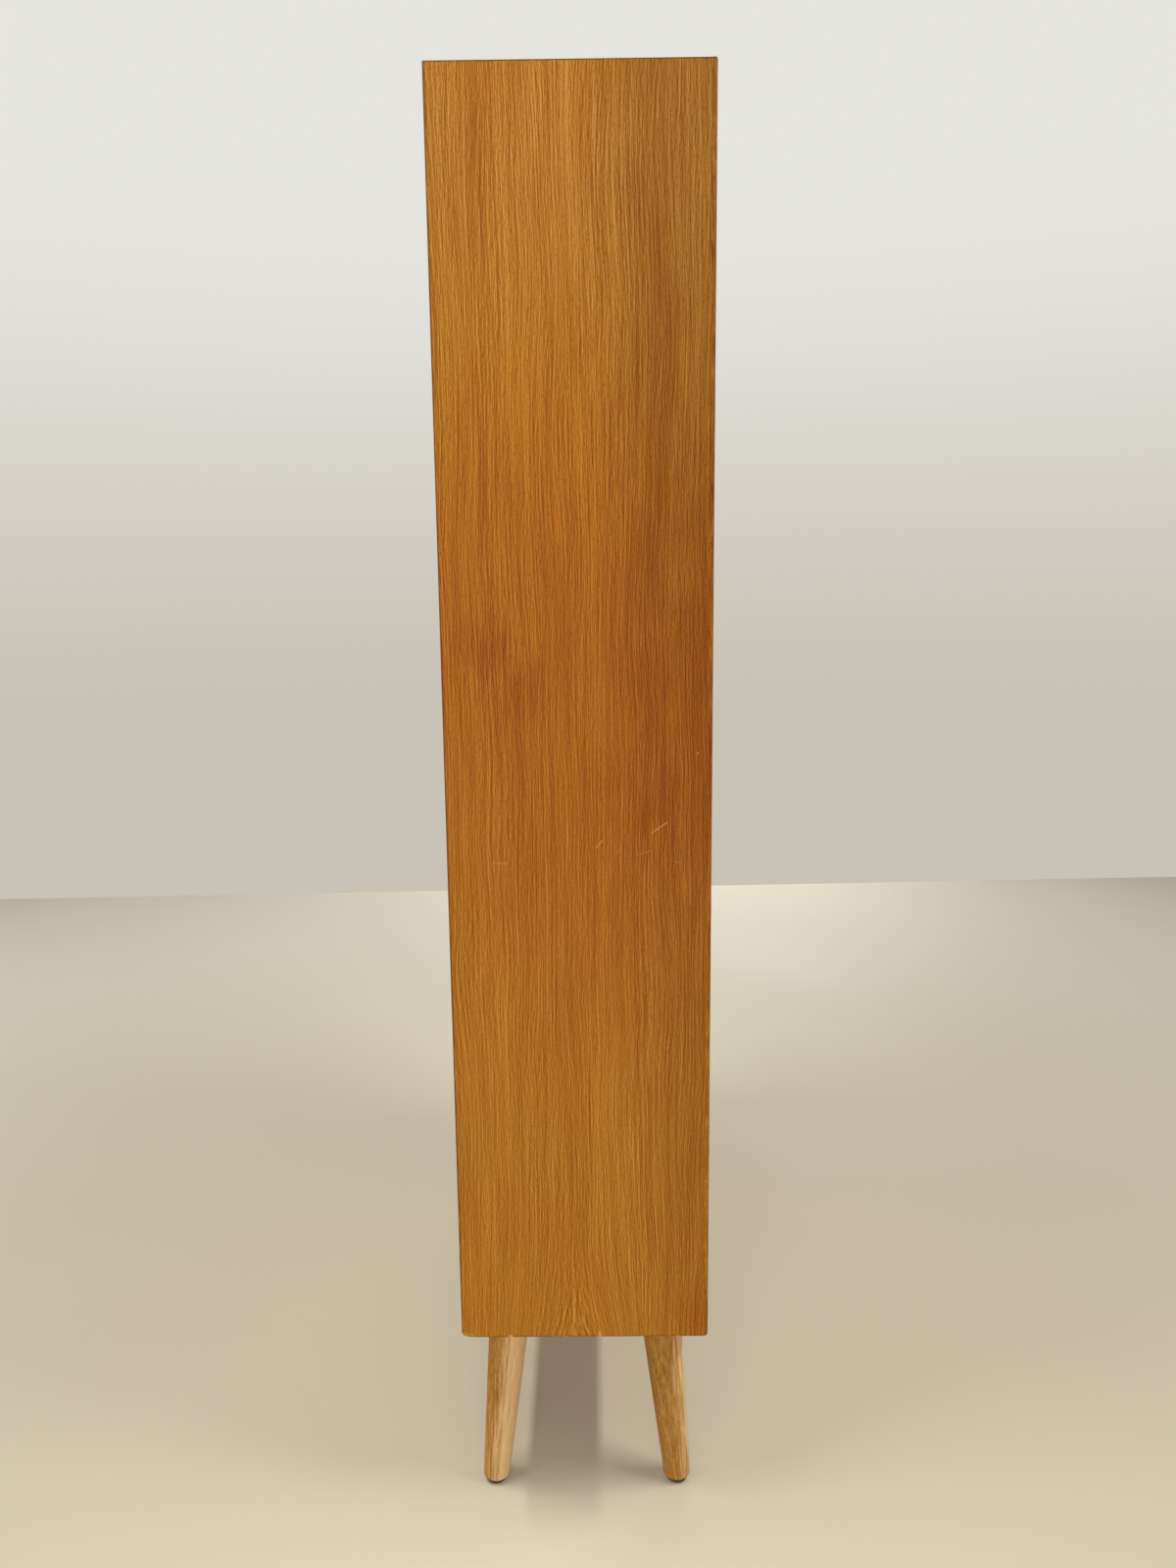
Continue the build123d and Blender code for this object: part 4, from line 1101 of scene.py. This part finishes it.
@cache
def screw_tree():
    """Countersunk slotted screws on points, each turned its own way."""
    tree, given, result = node_group(
        "slotted_screws",
        [
            ("Places", "Geometry", None), ("Head Radius", "Float", 0.003), ("Shank Radius", "Float", 0.0015),
            ("Length", "Float", 0.014), ("Slot Width", "Float", 0.0007), ("Slot Depth", "Float", 0.0009),
            ("Seed", "Int", 0), ("Finish", "Material", None),
        ],
        [("Screws", "Geometry")], "GeometryNodeTree",
    )
    head, shank, long = given["Head Radius"], given["Shank Radius"], given["Length"]

    def turned(bottom, top, depth, lift):
        """Cone with its lower end at a lift."""
        values = {"Vertices": SCREW_SIDES, "Radius Top": top, "Radius Bottom": bottom, "Depth": depth}
        cone = tree.node("GeometryNodeMeshCone", values).outputs["Mesh"]
        place = {"Geometry": cone, "Translation": tree.join(0.0, 0.0, lift)}
        return tree.node("GeometryNodeTransform", place).outputs[0]

    rise = tree.minus(head, shank)
    tip = tree.times(shank, 2.0)
    body = tree.minus(long, tip)
    stem_long = tree.minus(tree.plus(body, tree.times(shank, 0.2)), rise)
    dome = turned(tree.times(shank, 0.94), head, rise, tree.times(rise, -1.0))
    stem = turned(shank, shank, stem_long, tree.times(body, -1.0))
    point = turned(tree.times(shank, 0.06), tree.times(shank, 0.99), tip, tree.times(long, -1.0))
    joined = tree.node("GeometryNodeMeshBoolean", operation="UNION", solver="EXACT")
    for part in (dome, stem, point):
        tree.feed(joined.inputs["Mesh 2"], part)
    bar_size = tree.join(tree.times(head, 3.0), given["Slot Width"], tree.times(given["Slot Depth"], 2.0))
    bar = tree.node("GeometryNodeMeshCube", {"Size": bar_size}).outputs["Mesh"]
    cut = {"Mesh 1": joined.outputs["Mesh"], "Mesh 2": bar}
    slotted = tree.node("GeometryNodeMeshBoolean", cut, operation="DIFFERENCE", solver="EXACT")
    loose = {"Geometry": slotted.outputs["Mesh"], "Distance": SCREW_WELD}
    clean = tree.node("GeometryNodeMergeByDistance", loose)

    aim = tree.node("GeometryNodeInputNamedAttribute", {"Name": "aim"}, data_type="FLOAT_VECTOR")
    faced = tree.node("FunctionNodeAlignRotationToVector", {"Vector": aim.outputs["Attribute"]}, axis="Z")
    twist = tree.node("FunctionNodeRandomValue", data_type="FLOAT")
    for name, value in (("Min", 0.0), ("Max", math.pi), ("Seed", given["Seed"])):
        socket = next(socket for socket in twist.inputs if socket.name == name and socket.enabled)
        tree.feed(socket, value)
    spin = next(socket for socket in twist.outputs if socket.enabled)
    spun = tree.node("FunctionNodeAxisAngleToRotation", {"Axis": (0.0, 0.0, 1.0), "Angle": spin})
    turn = tree.node("FunctionNodeRotateRotation", {
        "Rotation": faced.outputs["Rotation"], "Rotate By": spun.outputs["Rotation"],
    }, rotation_space="LOCAL")
    spread = tree.node("GeometryNodeInstanceOnPoints", {
        "Points": given["Places"],
        "Instance": clean.outputs["Geometry"],
        "Rotation": turn.outputs["Rotation"],
    })
    real = tree.node("GeometryNodeRealizeInstances", {"Geometry": spread.outputs["Instances"]})
    dressed = {"Geometry": real.outputs["Geometry"], "Material": given["Finish"]}
    shown = tree.node("GeometryNodeSetMaterial", dressed)
    tree.feed(result["Screws"], shown.outputs["Geometry"])
    return tree.tree


def to_back(low, high):
    """Aim of a screw head that looks to the back."""
    return ACROSS_Y


def down(low, high):
    """Aim of a screw head that looks down."""
    return -ACROSS_Z


def to_middle(low, high):
    """Aim of a screw head that looks to the middle of the cabinet."""
    return ACROSS_X * -math.copysign(1, low.x + high.x)


def out_of_door(low, high):
    """Aim of a screw head in a door's edge or on its back."""
    reach = high - low
    return -to_middle(low, high) if reach.x > reach.y else ACROSS_Y


# Screws: CAD node, piece, body, shank radius, finish and slot, and where the heads look
SCREWS = [
    ("back_panel_screws", "back_screws", "cabinet", 0.00175, "steel", to_back),
    ("hinge_frame_screws", "frame_leaf_screws", "cabinet", 0.0015, "brass", to_middle),
    ("catch_screws", "catch_ear_screws", "cabinet", 0.0015, "steel", down),
    ("leg_plate_screws", "plate_screws", "cabinet", 0.002, "steel", down),
]
SCREWS += [
    (f"{door}_door_screws", f"{door}_brass_screws", f"{door}_door", 0.0015, "brass", out_of_door)
    for door in DOORS
]


class PANTRY_OT_screws(bpy.types.Operator):
    """Set every countersunk screw with its slot"""

    bl_idname = "pantry.screws"
    bl_label = "Screws"

    def execute(self, context):
        for row in SCREWS:
            self.set_screws(*row)
        return {"FINISHED"}

    def set_screws(self, node, name, body, shank, slot, looks):
        """One piece with all the screws of a CAD node."""
        places = screw_places(node, looks)
        mesh = bpy.data.meshes.new(name)
        mesh.from_pydata([place[0] for place in places], [], [])
        aims = mesh.attributes.new("aim", "FLOAT_VECTOR", "POINT")
        aims.data.foreach_set("vector", [number for place in places for number in place[1]])
        piece = link(name, mesh)
        setter = piece.modifiers.new("screws", "NODES")
        setter.node_group = screw_tree()
        values = {
            "Head Radius": places[0][2], "Shank Radius": shank, "Length": places[0][3],
            "Slot Width": sizes().slot_width, "Slot Depth": sizes().slot_depth,
            "Seed": sizes().screw_seed, "Finish": finish(slot),
        }
        for item in setter.node_group.interface.items_tree:
            if item.in_out == "INPUT" and item.name in values:
                setter[item.identifier] = values[item.name]
        settle(piece)
        if len(piece.data.polygons) < SCREW_SIDES * len(places):
            raise RuntimeError(f"{name} has no screws on it")
        piece.data.shade_smooth()
        piece.data.set_sharp_from_angle(angle=SHARP_ANGLE)
        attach(piece, body)
        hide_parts(node)


class PANTRY_OT_fittings(bpy.types.Operator):
    """Finish the hinges, catches, pins, plates and other fittings that keep their CAD shape"""

    bl_idname = "pantry.fittings"
    bl_label = "Fittings"

    def execute(self, context):
        nodes = {
            "back_board": ["back_panel"], "brass": ["shelf_pins", "hinge_frame_leaves", "hinge_pins"],
            "steel": ["catch_poles", "leg_plates", "leg_hanger_bolts"], "catch_plastic": ["catch_housings"],
            "magnet_block": ["catch_magnets"], "joint_beech": ["mitre_splines", "divider_dowels"],
        }
        for door in DOORS:
            nodes["brass"].append(f"{door}_hinge_leaves")
            nodes["steel"] += [f"{door}_knob_screw", f"{door}_catch_keeper"]
        for look, dressed in nodes.items():
            for node in dressed:
                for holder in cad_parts[node].material_slots:
                    holder.material = finish(look)
        return {"FINISHED"}


# Lamps: place, target, length and width, power, and the beam's width in degrees
LAMPS = {
    "right_ceiling_lamp": ((-0.5, -1.56, 2.6), (-0.5, -0.1, 0.3), (1.3, 0.12), 28.0, 140),
    "left_ceiling_lamp": ((-0.5, 0.94, 2.6), (-0.5, 0.1, 0.3), (1.3, 0.12), 21.0, 140),
    "high_lamp": ((-1.9, -0.1, 3.0), (-0.45, 0.0, 0.9), (1.2, 1.2), 7.8, 180),
    "left_side_lamp": ((-3.3, 0.3, 1.1), (-0.45, 0.0, 0.8), (2.0, 2.0), 36.8, 180),
    "front_lamp": ((0.5, -3.2, 1.2), (0.1, -0.15, 0.8), (1.6, 1.6), 12.0, 180),
    "right_side_lamp": ((3.3, -0.3, 1.5), (0.45, 0.0, 0.8), (2.0, 2.0), 30.0, 180),
    "back_lamp": ((0.3, 3.3, 1.5), (0.0, 0.15, 0.8), (2.0, 2.0), 42.0, 180),
}
LAMP_COLOUR, WORLD_COLOUR = (1.0, 0.985, 0.96), (1.0, 0.995, 0.98)
FLOOR_TINT = (0.95, 0.945, 0.935)
# From the wall's foot to its plain shade, as the upward share of a look
WALL_SPAN = (-0.12, 0.3)
# Where the painted shade on the floor is deepest, and the distances from there over which it gives way to the
# paler painted light far off
PAINTED_FLOOR_SHADE_MIDDLE, PAINTED_FLOOR_SHADE_SPAN = (-0.4, 0.0, 0.0), (0.7, 3.4)
# Camera: place, and its turns in degrees, last turn first
CAMERA_PLACE = (-1.7496, -0.0194, 1.136)
CAMERA_TURNS = ((-90 + 0.38, "Z"), (80.01, "X"), (-0.59, "Z"))
SENSOR_WIDTH = 36.0


class PANTRY_OT_stage(bpy.types.Operator):
    """Lay the floor, set the light and place the camera"""

    bl_idname = "pantry.stage"
    bl_label = "Stage"

    def execute(self, context):
        look = context.scene.pantry_stage
        context.scene.view_settings.view_transform = "Standard"
        self.lay_floor(look)
        self.light_room(look)
        self.place_camera(look)
        return {"FINISHED"}

    def lay_floor(self, look):
        """Pale floor, painted darker round the cabinet as shade and paler far off as painted light."""
        reach, skew = look.floor_reach, look.floor_skew
        mesh = bpy.data.meshes.new("floor")
        near = [(-reach, -reach, 0), (reach + skew, -reach, 0)]
        far = [(reach - skew, reach, 0), (-reach, reach, 0)]
        mesh.from_pydata(near + far, [], [(0, 1, 2, 3)])
        material, tree, sockets = new_finish("floor")
        clouds = tree.noise(tree.place(), (2.0, 2.0, 2.0), 3.0)
        # Painted shade round the cabinet, fading to painted light far off
        away = tree.vector("LENGTH", tree.vector("SUBTRACT", tree.place(), PAINTED_FLOOR_SHADE_MIDDLE))
        even = tree.mix(tree.span(away, *PAINTED_FLOOR_SHADE_SPAN), tuple(look.floor), tuple(look.floor_far_painted_light))
        tree.feed(sockets["Base Color"], tree.mix(clouds, tree.tinted(even, FLOOR_TINT), even))
        tree.feed(sockets["Roughness"], tree.span(clouds, 0.3, 0.7, 0.55, 0.65))
        mesh.materials.append(material)
        link("floor", mesh)

    def light_room(self, look):
        """Even light from all round, three lamps above and a soft lamp on each of the four sides."""
        world = bpy.data.worlds.new("studio")
        bpy.context.scene.world = world
        world.use_nodes = True
        tree = Tree(world.node_tree)
        even = world.node_tree.nodes["Background"]
        tree.feed(even.inputs["Color"], WORLD_COLOUR)
        tree.feed(even.inputs["Strength"], look.world_light)
        rays = tree.node("ShaderNodeLightPath").outputs
        seen = tree.math("MAXIMUM", rays["Is Camera Ray"], rays["Is Glossy Ray"])
        seen = tree.math("MAXIMUM", seen, rays["Is Transmission Ray"])
        _, _, height = tree.split(tree.node("ShaderNodeTexCoord").outputs["Generated"])
        shade = tree.mix(tree.span(height, *WALL_SPAN), tuple(look.wall_foot), tuple(look.wall))
        wall = tree.node("ShaderNodeBackground", {"Color": shade, "Strength": 1.0})
        shown = tree.node("ShaderNodeMixShader", {0: seen, 1: even.outputs[0], 2: wall.outputs[0]})
        tree.feed(world.node_tree.nodes["World Output"].inputs["Surface"], shown.outputs[0])
        for name, lamp in LAMPS.items():
            self.hang_lamp(name, *lamp)

    def hang_lamp(self, name, place, target, size, power, spread):
        """Lamp of a length and width that looks at a point, with its beam's width in degrees."""
        lamp = bpy.data.lights.new(name, "AREA")
        lamp.shape = "RECTANGLE"
        lamp.size, lamp.size_y = size
        lamp.energy = power
        lamp.spread = math.radians(spread)
        lamp.color = LAMP_COLOUR
        holder = link(name, lamp)
        holder.location = place
        holder.rotation_euler = (Vector(target) - Vector(place)).to_track_quat("-Z", "Y").to_euler()

    def place_camera(self, look):
        """Camera square to the left side, a little above its middle and looking slightly down."""
        camera = bpy.data.cameras.new("camera")
        camera.lens = look.lens
        camera.sensor_width = SENSOR_WIDTH
        holder = link("camera", camera)
        heading, pitch, roll = (Matrix.Rotation(math.radians(turn), 3, axis) for turn, axis in CAMERA_TURNS)
        holder.rotation_euler = (heading @ pitch @ roll).to_euler()
        holder.location = CAMERA_PLACE
        bpy.context.scene.camera = holder


STEPS = ("carcass", "lipping", "doors", "shelves", "legs", "screws", "fittings", "stage")
SETTINGS = {"pantry_sizes": CabinetSizes, "pantry_colours": CabinetColours, "pantry_stage": StageLook}


class PANTRY_PT_panel(bpy.types.Panel):
    """Lists the pieces of the cabinet"""

    bl_label = "Pantry cabinet"
    bl_idname = "PANTRY_PT_panel"
    bl_space_type = "VIEW_3D"
    bl_region_type = "UI"
    bl_category = "Cabinet"

    def draw(self, context):
        for step in STEPS:
            self.layout.operator(f"pantry.{step}")
        for setting, kind in SETTINGS.items():
            box = self.layout.box()
            for name in kind.__annotations__:
                box.prop(getattr(context.scene, setting), name)


CLASSES = (
    *SETTINGS.values(), PANTRY_OT_carcass, PANTRY_OT_lipping, PANTRY_OT_doors, PANTRY_OT_shelves,
    PANTRY_OT_legs, PANTRY_OT_screws, PANTRY_OT_fittings, PANTRY_OT_stage, PANTRY_PT_panel,
)


def register():
    """Makes the classes and their settings known to Blender."""
    for kind in CLASSES:
        bpy.utils.register_class(kind)
    for setting, kind in SETTINGS.items():
        setattr(bpy.types.Scene, setting, PointerProperty(type=kind))


def unregister():
    """Removes the classes and their settings."""
    for setting in SETTINGS:
        delattr(bpy.types.Scene, setting)
    for kind in reversed(CLASSES):
        bpy.utils.unregister_class(kind)


def main():
    """Builds the cabinet piece by piece."""
    register()
    for step in STEPS:
        getattr(bpy.ops.pantry, step)()


if __name__ == "__main__":
    main()
